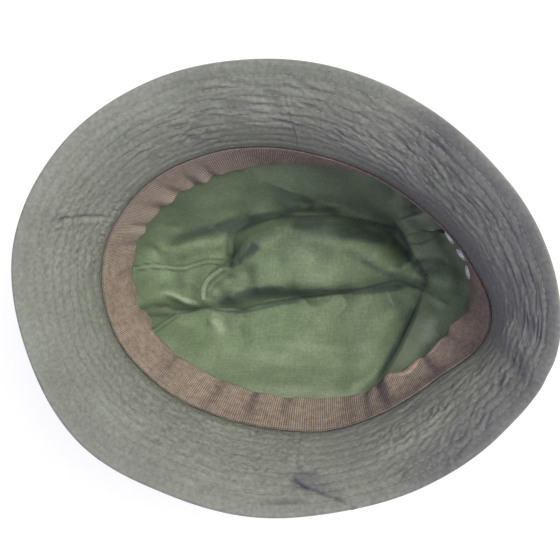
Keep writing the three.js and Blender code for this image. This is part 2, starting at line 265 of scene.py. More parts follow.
def pressed(point: Array, creases: Sequence[Crease]) -> Array:
    """Work out how far a set of creases raises the cloth.

    Args:
        point: Places on the cloth.
        creases: The creases.

    Returns:
        The rise of the cloth.
    """
    x, y = point[..., 0], point[..., 1]
    rise = np.zeros(x.shape)
    for crease in creases:
        line = curve_through(crease.path, 2.0)
        furthest = max(crease.left, crease.right)
        near = (
            (x > line[:, 0].min() - furthest)
            & (x < line[:, 0].max() + furthest)
            & (y > line[:, 1].min() - furthest)
            & (y < line[:, 1].max() + furthest)
        )
        place = np.stack([x[near], y[near]], -1)
        if not len(place):
            continue
        start, run = line[:-1], np.diff(line, axis=0)
        length = np.linalg.norm(run, axis=1)
        gap = place[:, None, :] - start
        f = np.clip((gap * run).sum(-1) / length**2, 0, 1)
        away = gap - f[..., None] * run
        distance = np.linalg.norm(away, axis=-1)
        nearest = distance.argmin(1)
        pick = np.arange(len(place)), nearest
        side = run[nearest, 0] * away[pick][:, 1] - run[nearest, 1] * away[pick][:, 0]
        reach = np.where(side > 0, crease.left, crease.right)
        g = np.clip(distance[pick] / reach, 0, 1)
        profile = crease.sharp * (1 - g) ** 1.5 + (1 - crease.sharp) * (1 - g * g) ** 2
        if crease.fade:
            walked = np.concatenate([[0], np.cumsum(length)])
            along = walked[nearest] + f[pick] * length[nearest]
            end = np.minimum(along, walked[-1] - along)
            profile = profile * smooth(0, crease.fade, end)
        rise[near] += crease.rise * profile
    return rise


class Relief:
    """A smooth surface over the plan, through places whose heights are known."""

    def __init__(
        self, places: Array, low: tuple[float, float], high: tuple[float, float], step: float
    ) -> None:
        """Settle the surface, and work out its heights on a fine net.

        Args:
            places: The places and their heights, one row each.
            low: The net's lowest corner.
            high: Its highest corner.
            step: The width of its squares.
        """
        known, count = places[:, :2], len(places)
        system = np.zeros((count + 3, count + 3))
        system[:count, :count] = self.pull(known, known) + SLACK * np.eye(count)
        system[:count, count:] = np.column_stack([np.ones(count), known])
        system[count:, :count] = system[:count, count:].T
        weights = np.linalg.solve(system, np.concatenate([places[:, 2], np.zeros(3)]))
        self.low, self.step = np.array(low), step
        lines = [np.arange(start, end, step) for start, end in zip(low, high)]
        net = np.stack(np.meshgrid(*lines, indexing="ij"), -1)
        heights = [self.pull(row, known) @ weights[:count] for row in net]
        self.net = np.array(heights) + weights[count] + net @ weights[count + 1 :]

    @staticmethod
    def pull(at: Array, known: Array) -> Array:
        """Return how strongly each known place acts at each given one."""
        gap = ((at[:, None] - known) ** 2).sum(-1)
        return 0.5 * gap * np.log(gap + 1e-9)

    def height(self, x: Array, y: Array) -> Array:
        """Work out the surface's heights.

        Args:
            x: Places along, in plan.
            y: Places across, in plan.

        Returns:
            The heights.
        """
        place = (np.stack([x, y], -1) - self.low) / self.step
        first = np.clip(np.floor(place).astype(int), 1, np.array(self.net.shape) - 3)
        f = place - first
        i, j = first[..., 0], first[..., 1]
        rows = [catmull(*(self.net[i + a, j + b] for b in (-1, 0, 1, 2)), f[..., 1]) for a in (-1, 0, 1, 2)]
        return catmull(*rows, f[..., 0])


@dataclass(frozen=True)
class HatForm:
    """The slumped hat: u is the angle round it, t counts rings down the crown, s runs out over the brim.

    The ovals' lengths and widths are halves, and only say how u is turned into an azimuth.
    """

    opening_height: float = 66
    lining: float = 0.9
    shell: float = 1.3
    gap: float = 0.45
    brim_thick: float = 2.6
    brim_lift: float = 1.3
    brim_flare: float = 0.45
    sag_depth: float = 8.5
    opening_length: float = 106
    opening_width: float = 75
    edge_length: float = 139
    edge_width: float = 115

    @property
    def wall(self) -> float:
        """Depth of the whole crown wall."""
        return self.lining + self.gap + self.shell

    def section(self, azimuth: Array, column: str) -> Array:
        """Read a column of the sections.

        Args:
            azimuth: Azimuths in degrees.
            column: The column's name.

        Returns:
            Its values at the azimuths.
        """
        values = np.array([getattr(row, column) for row in SECTIONS], float)
        count = len(values)
        place = (azimuth - SECTIONS[0].azimuth) / 360 * count
        first = np.floor(place).astype(int)
        near = [values[(first + k) % count] for k in (-1, 0, 1, 2)]
        return catmull(*near, place - first)

    def oval(self, u: Array, column: str, length: float, width: float) -> Array:
        """Return points of the opening or the edge, at no height."""
        azimuth = np.arctan2(width * np.sin(u), length * np.cos(u))
        reach = self.section(np.degrees(azimuth), column)
        return np.stack([reach * np.cos(azimuth), reach * np.sin(azimuth), 0 * reach], -1)

    def opening(self, u: Array) -> Array:
        """Return points of the head opening."""
        return self.oval(u, "opening", self.opening_length, self.opening_width) + [0, 0, self.opening_height]

    def edge(self, u: Array) -> Array:
        """Return points of the brim's edge."""
        point = self.oval(u, "edge", self.edge_length, self.edge_width)
        point[..., 2] = self.section(np.degrees(np.arctan2(point[..., 1], point[..., 0])), "edge_height")
        return point

    def ring(self, index: int, u: Array) -> Array:
        """Place points of a ring.

        Args:
            index: The ring's number, 0 for the opening.
            u: Angles round the hat.

        Returns:
            The points.
        """
        last = len(RINGS)
        if index < 0:
            return 2 * self.opening(u) - self.ring(1, u)
        if index == 0:
            return self.opening(u)
        if index > last:
            return self.ring(last - 1, u + math.pi)
        ring = RINGS[index - 1]
        turn = math.radians(ring.turn)
        along = ring.half_length * np.cos(u - turn)
        across = ring.half_width * np.sin(u - turn)
        x = ring.x + along * math.cos(turn) - across * math.sin(turn)
        y = ring.y + along * math.sin(turn) + across * math.cos(turn)
        return np.stack([x, y, np.full(u.shape, float(ring.height))], -1)

    @cached_property
    def hollow(self) -> Relief:
        """The lie of the cloth below the sweatband."""
        u, t = np.meshgrid(turned(26), (0.6, 0.8, 1.0), indexing="ij")
        wall = self.bag(u, t).reshape(-1, 3)
        known = np.vstack([wall, *(np.array(line, float) for line in HOLLOW)])
        return Relief(known, low=(-125, -95), high=(125, 95), step=0.8)

    def floor(self, x: Array, y: Array) -> Array:
        """Return the heights of the cloth's inside surface below the sweatband."""
        height = self.hollow.height(x, y)
        return np.maximum(height, FLOOR_YIELD * self.wall + (1 - FLOOR_YIELD) * height)

    def lying(self, u: Array, t: Array) -> Array:
        """Place points of the crown's inside surface as it lies.

        Args:
            u: Angles round the hat.
            t: Rings from the opening.

        Returns:
            The points.
        """
        point = self.bag(u, t)
        share = smooth(*BELOW_BAND, t)
        below = share > 0
        height = self.floor(point[below][:, 0], point[below][:, 1])
        point[..., 2][below] += share[below] * (height - point[..., 2][below])
        return point

    def unwound(self, places: Array) -> tuple[Array, Array]:
        """Find where places in plan are on the crown.

        Args:
            places: The places, one row each.

        Returns:
            Their angles and their rings.
        """
        u, t = (a.ravel() for a in np.meshgrid(turned(180), np.linspace(0.3, 7.8, 100), indexing="ij"))
        known = self.bag(u, t)[:, :2]
        nearest = [((known - place) ** 2).sum(1).argmin() for place in places]
        u, t = u[nearest], t[nearest]
        step = 0.002
        for _ in range(6):
            here, round_it, down = (self.bag(*at)[:, :2] for at in ((u, t), (u + step, t), (u, t + step)))
            system = np.stack([round_it - here, down - here], -1) / step
            move = np.linalg.solve(system, (places - here)[..., None])[..., 0]
            u, t = u + np.clip(move[:, 0], -0.1, 0.1), t + np.clip(move[:, 1], -0.2, 0.2)
        return u, t

    def bag(self, u: Array, t: Array) -> Array:
        """Place points of the crown's inside surface before it slumps.

        Args:
            u: Angles round the hat.
            t: Rings from the opening.

        Returns:
            The points.
        """
        point = np.zeros(u.shape + (3,))
        first = np.minimum(np.floor(t).astype(int), len(RINGS) - 1)
        for k in range(len(RINGS)):
            here = first == k
            if here.any():
                near = [self.ring(k + i, u[here]) for i in (-1, 0, 1, 2)]
                point[here] = catmull(*near, (t[here] - k)[:, None])
        return point

    def sag(self, u: Array) -> Array:
        """Return how far the lining and the ribbon sag in from the wall, at the front right."""
        angle = angle_of(u)
        return self.sag_depth * smooth(*SAG_START, angle) * smooth(*SAG_END, angle)

    def out_of(self, u: Array, t: Array) -> Array:
        """Find the directions that point out of the crown.

        Args:
            u: Angles round the hat.
            t: Rings from the opening.

        Returns:
            The directions.
        """
        step = 0.02
        along = self.lying(u + step, t) - self.lying(u - step, t)
        down = self.lying(u, np.minimum(t + step, len(RINGS))) - self.lying(u, np.maximum(t - step, 0))
        normal = np.cross(down, along)
        size = np.linalg.norm(normal, axis=-1, keepdims=True)
        normal = np.where(size < 1e-5, [0, 0, -1.0], normal / np.maximum(size, 1e-9))
        # on the wall no bulge turns the layers round: each direction still leans away from the middle
        away = unit(self.opening(u) * [1, 1, 0])
        lean = np.sum(normal * away, -1)
        ring = np.broadcast_to(t, lean.shape)
        short = np.maximum(LEAST_LEAN - lean, 0) * smooth(*LEAN_RINGS, ring) * smooth(0.0, 0.5, ring)
        return unit(normal + away * short[..., None])

    def crown(self, u: Array, t: Array, depth: Array, creases: Sequence[Crease], rise: Array = 0) -> Array:
        """Place points of the crown.

        Args:
            u: Angles round the hat.
            t: Rings from the opening.
            depth: Depth outwards from the lining's face.
            creases: The sharp folds pressed into the cloth.
            rise: More rise of the cloth, towards the inside.

        Returns:
            The points, none of them below the surface that the hat lies on.
        """
        u, t, depth = (np.array(a, float) for a in np.broadcast_arrays(u, t, depth))
        normal = self.out_of(u, t)
        press = normal + smooth(*PRESSED_DOWN, t)[..., None] * ([0, 0, -1] - normal)
        press *= np.minimum(t, 1)[..., None]
        return self.layered(self.lying(u, t), normal, depth, creases, rise, press, self.wall - depth)

    def tip(self, plan: Array, depth: float, creases: Sequence[Crease], rise: Array, tuck: Array) -> Array:
        """Place points of the tip, which lies below the sweatband.

        Args:
            plan: Their places in plan.
            depth: Depth outwards from the lining's face.
            creases: The sharp folds pressed into the cloth.
            rise: More rise of the cloth, towards the inside.
            tuck: How far the cloth is turned under, or inwards if below 0.

        Returns:
            The points.
        """
        x, y, step = plan[..., 0], plan[..., 1], 0.5
        slope_x = (self.floor(x + step, y) - self.floor(x - step, y)) / (2 * step)
        slope_y = (self.floor(x, y + step) - self.floor(x, y - step)) / (2 * step)
        normal = unit(np.stack([slope_x, slope_y, np.full(x.shape, -1.0)], -1))
        point = np.stack([x, y, self.floor(x, y)], -1)
        press = np.broadcast_to([0, 0, -1.0], point.shape)
        least = self.wall - depth - tuck
        inward, under = np.minimum(tuck, 0), np.maximum(tuck, 0)
        return self.layered(point, normal, depth + inward + 0 * x, creases, rise - under, press, least)

    def layered(
        self, point: Array, normal: Array, depth: Array, creases: Sequence[Crease], rise: Array, press: Array,
        least: Array,
    ) -> Array:
        """Move points of the inside surface out to a depth, with their folds pressed in.

        Args:
            point: The points.
            normal: The directions out of the crown there.
            depth: Their depths.
            creases: The sharp folds.
            rise: More rise of the cloth.
            press: The directions that the folds are pressed along.
            least: The least heights that the points may have.

        Returns:
            The points moved.
        """
        rise = rise + pressed(point, creases)
        point = point + normal * depth[..., None] - press * rise[..., None]
        point[..., 2] = np.maximum(point[..., 2], least)
        return point

    def brim(self, u: Array, s: Array, depth: Array) -> tuple[Array, Array]:
        """Place points of the brim.

        Args:
            u: Angles round the hat.
            s: Shares of the brim's width, from the opening.
            depth: Depths from its underside.

        Returns:
            The points, and the directions of their depth.
        """
        u, s, depth = np.broadcast_arrays(u, s, depth)
        start = self.opening(u) + [0, 0, self.brim_lift]
        run = self.edge(u) - start
        flare = self.brim_flare
        out = s * (1 - flare) + flare * s * s
        up = s * (1 + flare) - flare * s * s
        point = start + run * np.stack([out, out, up], -1)
        flat = np.linalg.norm(run[..., :2], axis=-1)
        rise = run[..., 2] * (1 + flare - 2 * flare * s)
        normal = run / flat[..., None] * rise[..., None]
        normal[..., 2] = -flat * (1 - flare + 2 * flare * s)
        normal = unit(normal)
        return point + normal * depth[..., None], normal


# ---- meshes
def placed(name: str, data: bpy.types.ID) -> bpy.types.Object:
    """Return a new object in the scene that holds this data."""
    piece = bpy.data.objects.new(name, data)
    bpy.context.collection.objects.link(piece)
    return piece


def leave_edit() -> None:
    """Return to object mode with nothing selected."""
    if bpy.context.mode != "OBJECT":
        bpy.ops.object.mode_set(mode="OBJECT")
    bpy.ops.object.select_all(action="DESELECT")


def edit_all(piece: bpy.types.Object) -> None:
    """Select a piece alone and open it in edit mode with all of it selected."""
    leave_edit()
    bpy.context.view_layer.objects.active = piece
    piece.select_set(True)
    bpy.ops.object.mode_set(mode="EDIT")
    bpy.ops.mesh.select_all(action="SELECT")


def close_up(piece: bpy.types.Object) -> None:
    """Merge a piece's doubles, drop its empty faces and turn it the right way out.

    Args:
        piece: A mesh whose faces meet all round.
    """
    edit_all(piece)
    bpy.ops.mesh.remove_doubles(threshold=1e-7)
    bpy.ops.mesh.dissolve_degenerate(threshold=1e-8)
    leave_edit()
    mesh = piece.data
    mesh.calc_loop_triangles()
    points = np.empty(len(mesh.vertices) * 3)
    mesh.vertices.foreach_get("co", points)
    corners = np.empty(len(mesh.loop_triangles) * 3, np.int32)
    mesh.loop_triangles.foreach_get("vertices", corners)
    a, b, c = points.reshape(-1, 3)[corners].reshape(-1, 3, 3).transpose(1, 0, 2)
    if np.einsum("ij,ij->i", a, np.cross(b, c)).sum() < 0:
        mesh.flip_normals()
    mesh.polygons.foreach_set("use_smooth", np.ones(len(mesh.polygons), bool))
    mesh.update()


class Layout(NamedTuple):
    """Where a grid's points go, how its pattern lies on them, in millimetres, and their marks of painted shade,
    painted light and wear.
    """

    points: Array
    lay: Array
    marks: Array


def strip_lay(along: Array, across: Array) -> Array:
    """Return the layout of a straight strip from the places of its columns and its rows."""
    return np.stack(np.meshgrid(along, across, indexing="ij"), -1)


def wrapped_grid(name: str, layout: Layout) -> bpy.types.Object:
    """Wrap a flat grid into a closed piece: its columns go round the hat, and its rows round the cloth.

    Args:
        name: The piece's name.
        layout: Its points by column and row, the pattern's place at each column and row, and its marks.

    Returns:
        The finished mesh object.
    """
    columns, rows = layout.points.shape[:2]
    leave_edit()
    bpy.ops.mesh.primitive_grid_add(x_subdivisions=columns, y_subdivisions=rows, size=2)
    piece = bpy.context.object
    piece.name = piece.data.name = name
    mesh = piece.data
    flat = np.empty(len(mesh.vertices) * 3)
    mesh.vertices.foreach_get("co", flat)
    flat = flat.reshape(-1, 3)
    column = np.rint((flat[:, 0] + 1) / 2 * columns).astype(int)
    row = np.rint((flat[:, 1] + 1) / 2 * rows).astype(int)
    placed = (layout.points[column % columns, row % rows] + ORIGIN) * MM
    mesh.vertices.foreach_set("co", placed.ravel())
    # marks: 0 painted shade in grooves, 1 wear and painted light, 2 painted shade
    marks = mesh.attributes.new("marks", "FLOAT_COLOR", "POINT")
    shades = np.ones((len(flat), 4))
    shades[:, : layout.marks.shape[-1]] = layout.marks[column % columns, row % rows]
    marks.data.foreach_set("color", shades.ravel())
    corner = np.empty(len(mesh.loops), np.int32)
    mesh.loops.foreach_get("vertex_index", corner)
    mesh.uv_layers.active.data.foreach_set("uv", layout.lay[column, row][corner].ravel())
    close_up(piece)
    return piece


def new_piece(name: str, points: Array, edges: Sequence, faces: Sequence) -> bpy.types.Object:
    """Make a piece from points.

    Args:
        name: The piece's name.
        points: Its points, in the form's millimetres.
        edges: Its edges, where it has no faces yet.
        faces: Its faces.

    Returns:
        The piece.
    """
    mesh = bpy.data.meshes.new(name)
    mesh.from_pydata(((points + ORIGIN) * MM).tolist(), edges, faces)
    return placed(name, mesh)


def evened(points: Array, pitch: float) -> tuple[Array, Array]:
    """Space places evenly along a line that meets itself.

    Args:
        points: The line's points, one row each.
        pitch: The distance between places.

    Returns:
        The places and the directions of the line there.
    """
    line = np.vstack([points, points[:1]])
    walked = walk(line)
    count = max(2, int(round(walked[-1] / pitch)))
    stops = (np.arange(count) + 0.5) * walked[-1] / count
    reach = walked[-1] / count * 0.4
    start, end = (places_on(line, walked, at) for at in (stops - reach, stops + reach))
    return (start + end) / 2, unit(end - start)


class Stitching:
    """Thread stitches of one size, modelled once and laid along any number of lines."""

    def __init__(self, length: float, thick: float, high: float) -> None:
        """Model the stitch.

        Args:
            length: Length of one stitch, millimetres.
            thick: Its width across the line.
            high: Its height off the cloth.
        """
        leave_edit()
        lying = (0, math.pi / 2, 0)
        bpy.ops.mesh.primitive_uv_sphere_add(segments=6, ring_count=4, radius=0.5, rotation=lying)
        seed = bpy.context.object
        bpy.ops.object.transform_apply(rotation=True)
        mesh = seed.data
        points = np.empty(len(mesh.vertices) * 3)
        mesh.vertices.foreach_get("co", points)
        self.points = points.reshape(-1, 3) * [length, thick, high]
        self.points[:, 2] -= high * 1.2 * (self.points[:, 0] / length) ** 2
        self.faces = [list(face.vertices) for face in mesh.polygons]
        bpy.data.objects.remove(seed)
        self.laid: list[Array] = []

    def lay(self, places: Array, along: Array, off: Array) -> None:
        """Lay one stitch at each place, along the line and facing off the cloth."""
        across = unit(np.cross(off, along))
        off = np.cross(along, across)
        axes = np.stack([along, across, off], 1)
        self.laid.append(np.einsum("vk,nkj->nvj", self.points, axes) + places[:, None])

    def follow(self, line: Array, off: Array, pitch: float) -> None:
        """Lay stitches along a line that meets itself.

        Args:
            line: The line's points, one row each.
            off: The directions off the cloth there.
            pitch: The distance between stitches.
        """
        places, along = evened(line, pitch)
        self.lay(places, along, off[np.linspace(0, len(line), len(places), endpoint=False).astype(int)])

    def sewn(self, name: str) -> bpy.types.Object:
        """Make one piece of all the stitches laid so far, and start again.

        Args:
            name: The piece's name.

        Returns:
            The piece.
        """
        laid = np.vstack(self.laid)
        count, size = laid.shape[:2]
        points = laid.reshape(-1, 3)
        points[:, 2] = np.maximum(points[:, 2], 0)
        faces = [[v + k * size for v in face] for k in range(count) for face in self.faces]
        piece = new_piece(name, points, [], faces)
        piece.data.polygons.foreach_set("use_smooth", np.ones(len(faces), bool))
        piece.data.update()
        self.laid = []
        return piece


# ---- finishes
class Graph:
    """A node tree that is being wired, of a material or of a group."""

    def __init__(self, tree: bpy.types.NodeTree) -> None:
        """Start on an empty tree."""
        self.tree = tree
        tree.nodes.clear()

    def node(self, kind: str, inputs: dict, **settings: object) -> bpy.types.Node:
        """Add a node.

        Args:
            kind: The node's type, without the words ShaderNode.
            inputs: A value or another node's socket for each named or numbered input.
            settings: The node's own properties.

        Returns:
            The node.
        """
        node = self.tree.nodes.new("ShaderNode" + kind)
        for name, value in settings.items():
            setattr(node, name, value)
        for name, value in inputs.items():
            if isinstance(value, bpy.types.NodeSocket):
                self.tree.links.new(value, node.inputs[name])
            else:
                node.inputs[name].default_value = value
        return node

    def sum(self, operation: str, *values: object) -> bpy.types.NodeSocket:
        """Return the result of one math operation."""
        return self.node("Math", dict(enumerate(values)), operation=operation).outputs[0]

    def scaled(self, value: object, factor: float) -> bpy.types.NodeSocket:
        """Return a value times a number."""
        return self.sum("MULTIPLY", value, factor)

    def mix(self, share: object, low: object, high: object, blend: str = "MIX") -> bpy.types.NodeSocket:
        """Return a mix of two colours."""
        inputs = {0: share, 6: low, 7: high}
        node = self.node("Mix", inputs, data_type="RGBA", blend_type=blend)
        return node.outputs[2]

    def spread(self, value: object, low: float, high: float) -> bpy.types.NodeSocket:
        """Return a value stretched so that low becomes 0 and high 1, held between them."""
        return self.node("MapRange", {0: value, 1: low, 2: high}).outputs[0]

    def group(self, tree: bpy.types.NodeTree, inputs: dict) -> bpy.types.Node:
        """Add a group with its inputs."""
        return self.node("Group", inputs, node_tree=tree)


def shared_group(
    name: str, inputs: dict[str, str], outputs: Sequence[str]
) -> tuple[Graph, bpy.types.Node, bpy.types.Node]:
    """Start a node group.

    Args:
        name: The group's name.
        inputs: The socket type of each input, without the words NodeSocket.
        outputs: The names of its values.

    Returns:
        The group being wired, its input node and its output node.
    """
    tree = bpy.data.node_groups.new(name, "ShaderNodeTree")
    for key, kind in inputs.items():
        tree.interface.new_socket(key, in_out="INPUT", socket_type="NodeSocket" + kind)
    for key in outputs:
        tree.interface.new_socket(key, in_out="OUTPUT", socket_type="NodeSocketFloat")
    graph = Graph(tree)
    start = tree.nodes.new("NodeGroupInput")
    end = tree.nodes.new("NodeGroupOutput")
    return graph, start, end


def weave_group() -> bpy.types.NodeTree:
    """Make the plain weave: threads over and under each other, and yarns of uneven thickness.

    Returns:
        The group. It takes a place in millimetres and the pitch of the threads.
    """
    graph, start, end = shared_group("plain_weave", {"Vector": "Vector", "Pitch": "Float"}, ["Height", "Slub"])
    parts = graph.node("SeparateXYZ", {0: start.outputs["Vector"]}).outputs
    x, y = (graph.sum("DIVIDE", parts[k], start.outputs["Pitch"]) for k in (0, 1))
    waves = [graph.sum("ABSOLUTE", graph.sum("SINE", graph.scaled(v, math.pi))) for v in (x, y)]
    rounds = [graph.sum("POWER", wave, 1.5) for wave in waves]
    cells = graph.sum("ADD", graph.sum("FLOOR", x), graph.sum("FLOOR", y))
    over = graph.sum("PINGPONG", cells, 1)
    height = graph.node("Mix", {0: over, 2: rounds[0], 3: rounds[1]}, data_type="FLOAT").outputs[0]
    streaks = []
    for stretch in ((0.08, 1.4, 1.0), (1.4, 0.08, 1.0)):
        place = graph.node("VectorMath", {0: start.outputs["Vector"], 1: stretch}, operation="MULTIPLY")
        noise = {"Vector": place.outputs[0], "Scale": 1.0, "Detail": 2.0}
        streaks.append(graph.node("TexNoise", noise).outputs[0])
    slub = graph.spread(graph.sum("ADD", *streaks), 0.75, 1.25)
    graph.tree.links.new(height, end.inputs["Height"])
    graph.tree.links.new(slub, end.inputs["Slub"])
    return graph.tree


def mottle_group() -> bpy.types.NodeTree:
    """Make the uneven tone of handled cloth.

    Returns:
        The group. It takes a place in metres and the size of the patches in metres.
    """
    graph, start, end = shared_group("mottle", {"Vector": "Vector", "Size": "Float"}, ["Patches", "Grain"])
    scale = graph.sum("DIVIDE", 1.0, start.outputs["Size"])
    for name, size, detail in (("Patches", scale, 3.0), ("Grain", graph.scaled(scale, 14.0), 2.0)):
        noise = {"Vector": start.outputs["Vector"], "Scale": size, "Detail": detail}
        value = graph.spread(graph.node("TexNoise", noise).outputs[0], 0.3, 0.7)
        graph.tree.links.new(value, end.inputs[name])
    return graph.tree


def new_material(name: str) -> tuple[bpy.types.Material, Graph]:
    """Return a new material and its empty node tree."""
    material = bpy.data.materials.new(name)
    material.use_nodes = True
    return material, Graph(material.node_tree)


@dataclass(frozen=True)
class ClothFinish:
    """A woven cloth: its tones, its threads, painted shade in its folds and stitched grooves, and a lighter
    tone for wear and painted light.
    """

    name: str
    dark: Colour
    light: Colour
    # the tone that places lighten towards: wear on edges, painted highlights and painted light
    worn_and_lit: Colour
    pitch: float
    roughness: float
    sheen: float
    relief: float
    patch: float = 0.03
    # how far mark 0, painted shade in stitched grooves and between ribs, darkens the colour
    groove_shade: float = 0.55
    # how far mark 2, painted shade in folds and shaded strokes, darkens each channel
    fold_shade: Colour = (0.64, 0.63, 0.52)
    fleck: float = 0.15
    # how far mark 1, wear and painted light, lightens the colour
    wear_and_light: float = 0.6

    def material(self, weave: bpy.types.NodeTree, mottle: bpy.types.NodeTree) -> bpy.types.Material:
        """Make the material.

        Args:
            weave: The weave group.
            mottle: The mottle group.

        Returns:
            The material, whose pattern follows the cloth's own layout in millimetres.
        """
        material, graph = new_material(self.name)
        lay = graph.node("TexCoord", {}).outputs
        marks = graph.node("Attribute", {}, attribute_name="marks").outputs["Color"]
        mark = graph.node("SeparateColor", {0: marks}).outputs
        threads = graph.group(weave, {"Vector": lay["UV"], "Pitch": self.pitch}).outputs
        tone = graph.group(mottle, {"Vector": lay["Object"], "Size": self.patch}).outputs
        patches = graph.scaled(tone["Patches"], 0.6)
        share = graph.sum("ADD", patches, graph.scaled(threads["Slub"], 0.4))
        colour = graph.mix(share, (*self.dark, 1), (*self.light, 1))
        fleck = graph.scaled(graph.sum("SUBTRACT", tone["Grain"], 0.5), 2 * self.fleck)
        yarn = graph.scaled(graph.sum("SUBTRACT", threads["Height"], 0.5), self.fleck)
        fleck = graph.sum("ADD", fleck, yarn)
        # mark 1 lightens the colour: wear on the brim's edge, painted highlights on crests and folds, and
        # painted light strokes
        colour = graph.mix(graph.scaled(mark[1], self.wear_and_light), colour, (*self.worn_and_lit, 1))
        factor = graph.sum("ADD", fleck, 1.0)
        # mark 0 darkens: painted shade in stitched grooves and between the ribbon's ribs
        groove = graph.sum("SUBTRACT", 1.0, graph.scaled(mark[0], self.groove_shade))
        factor = graph.sum("MULTIPLY", factor, groove)
        # mark 2 darkens each channel, tinted cool: painted shade in folds, troughs and shaded strokes
        shades = [graph.sum("SUBTRACT", 1.0, graph.scaled(mark[2], shade)) for shade in self.fold_shade]
        shades = [graph.sum("MULTIPLY", factor, shade) for shade in shades]
        tint = graph.node("CombineColor", dict(enumerate(shades))).outputs[0]
        colour = graph.mix(1.0, colour, tint, "MULTIPLY")
        rough = graph.sum("ADD", self.roughness - 0.06, graph.scaled(tone["Grain"], 0.12))
        height = graph.sum("ADD", threads["Height"], graph.scaled(threads["Slub"], 1.5))
        relief = {"Height": height, "Strength": 1.0, "Distance": self.relief * MM}
        bump = graph.node("Bump", relief).outputs[0]
        inputs = {"Base Color": colour, "Roughness": rough, "Normal": bump}
        inputs |= {"Sheen Weight": self.sheen, "Sheen Roughness": 0.4, "Specular IOR Level": 0.35}
        shader = graph.node("BsdfPrincipled", inputs)
        graph.node("OutputMaterial", {"Surface": shader.outputs[0]})
        return material


@dataclass(frozen=True)
class PlainFinish:
    """Sewing thread or plated metal: two tones in patches, and a fine grain."""

    name: str
    dark: Colour
    light: Colour
    patch: float = 0.006
    roughness: float = 0.6
    grain: float = 0.15
    strength: float = 1.0
    relief: float = 0.1
    metallic: float = 0.0

    def material(self, mottle: bpy.types.NodeTree) -> bpy.types.Material:
        """Make the material.

        Args:
            mottle: The mottle group.

        Returns:
            The material, whose pattern is on object coordinates.
        """
        material, graph = new_material(self.name)
        place = graph.node("TexCoord", {}).outputs["Object"]
        tone = graph.group(mottle, {"Vector": place, "Size": self.patch}).outputs
        colour = graph.mix(tone["Patches"], (*self.dark, 1), (*self.light, 1))
        relief = {"Height": tone["Grain"], "Strength": self.strength, "Distance": self.relief * MM}
        bump = graph.node("Bump", relief).outputs[0]
        rough = graph.sum("ADD", self.roughness, graph.scaled(tone["Grain"], self.grain))
        inputs = {"Base Color": colour, "Roughness": rough, "Normal": bump, "Metallic": self.metallic}
        graph.node("OutputMaterial", {"Surface": graph.node("BsdfPrincipled", inputs).outputs[0]})
        return material


class Palette:
    """All the hat's finishes, made once."""

    def __init__(self) -> None:
        """Make the shared groups and the materials."""
        weave, mottle = weave_group(), mottle_group()
        # the third colour of each cloth is the tone it lightens to, for wear and for painted light
        self.shell = ClothFinish(
            "shell_cloth", (0.228, 0.238, 0.200), (0.298, 0.311, 0.264), (0.41, 0.415, 0.37),
            pitch=0.42, roughness=0.52, sheen=0.08, relief=0.06, groove_shade=0.2, fold_shade=(0.6, 0.64, 0.46),
        ).material(weave, mottle)
        self.lining = ClothFinish(
            "lining_cloth", (0.165, 0.225, 0.13), (0.28, 0.35, 0.225), (0.40, 0.47, 0.33),
            pitch=0.5, roughness=0.88, sheen=0.05, relief=0.07, patch=0.022, fleck=0.12, wear_and_light=0.85,
        ).material(weave, mottle)
        self.ribbon = ClothFinish(
            "sweatband_ribbon", (0.30, 0.215, 0.16), (0.60, 0.48, 0.40), (0.60, 0.49, 0.42),
            pitch=0.5, roughness=0.9, sheen=0.05, relief=0.08, patch=0.003, groove_shade=0.75, fleck=0.45,
        ).material(weave, mottle)
        self.tan_thread = PlainFinish("tan_thread", (0.31, 0.285, 0.21), (0.45, 0.41, 0.30)).material(mottle)
        self.green_thread = PlainFinish("green_thread", (0.22, 0.27, 0.16), (0.32, 0.37, 0.24)).material(mottle)
        self.metal = PlainFinish(
            "eyelet_metal", (0.85, 0.83, 0.86), (0.97, 0.95, 0.97),
            patch=0.003, roughness=0.42, grain=0.2, strength=0.4, relief=0.05, metallic=0.3,
        ).material(mottle)


def finished(piece: bpy.types.Object, material: bpy.types.Material, slot: str = "") -> bpy.types.Object:
    """Dress a piece and let it ride with the hat.

    Args:
        piece: The piece.
        material: Its material.
        slot: Not used.

    Returns:
        The piece.
    """
    piece.data.materials.clear()
    piece.data.materials.append(material)
    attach(piece, "root")
    LOG.info("%s: %d faces", piece.name, len(piece.data.polygons))
    return piece


# ---- brim
class PuckerKind(Enum):
    """How a patch of puckers crosses the rows of stitches."""

    PINCHED = 0.35
    LOOSE = 0.65


class Puckers(NamedTuple):
    """A patch of puckers: where it is on the brim, how high, long and wide they are, and how they slant."""

    kind: PuckerKind
    azimuth: float
    spread: float
    inner: float
    outer: float
    height: float
    length: float
    width: float
    slant: float


PINCHED, LOOSE = PuckerKind
PUCKERS = tuple(Puckers(*row) for row in (
    (LOOSE, 55, 27, 11, 50, 0.8, 15, 1.9, 13),
    (LOOSE, 8, 24, 15, 51, 0.8, 16, 1.9, 6),
    (LOOSE, -38, 28, 13, 54, 0.8, 10, 2.4, -33),
    (PINCHED, -50, 30, 0, 17, 0.55, 20, 2, -6),
    (PINCHED, 97, 17, 20, 48, 0.9, 16, 4.2, 12),
    (PINCHED, 128, 17, 8, 42, 0.75, 8, 2.8, -14),
    (PINCHED, 165, 15, 0, 40, 0.75, 4.5, 2.2, 55),
    (PINCHED, 205, 22, -4, 20, 0.6, 7, 2, 72),
    (LOOSE, 233, 24, 0, 36, 0.8, 5, 1.7, 6),
    (LOOSE, 262, 18, 3, 30, 0.75, 5, 1.7, 0),
    (PINCHED, 255, 30, -4, 9, 0.6, 6, 2.6, 80),
    (PINCHED, 256, 26, 28, 52, 0.55, 18, 3, 4),
    (PINCHED, 195, 40, 18, 50, 0.35, 9, 3, 35),
    (LOOSE, 0, 180, 3, 54, 0.22, 6, 2, 0),
))


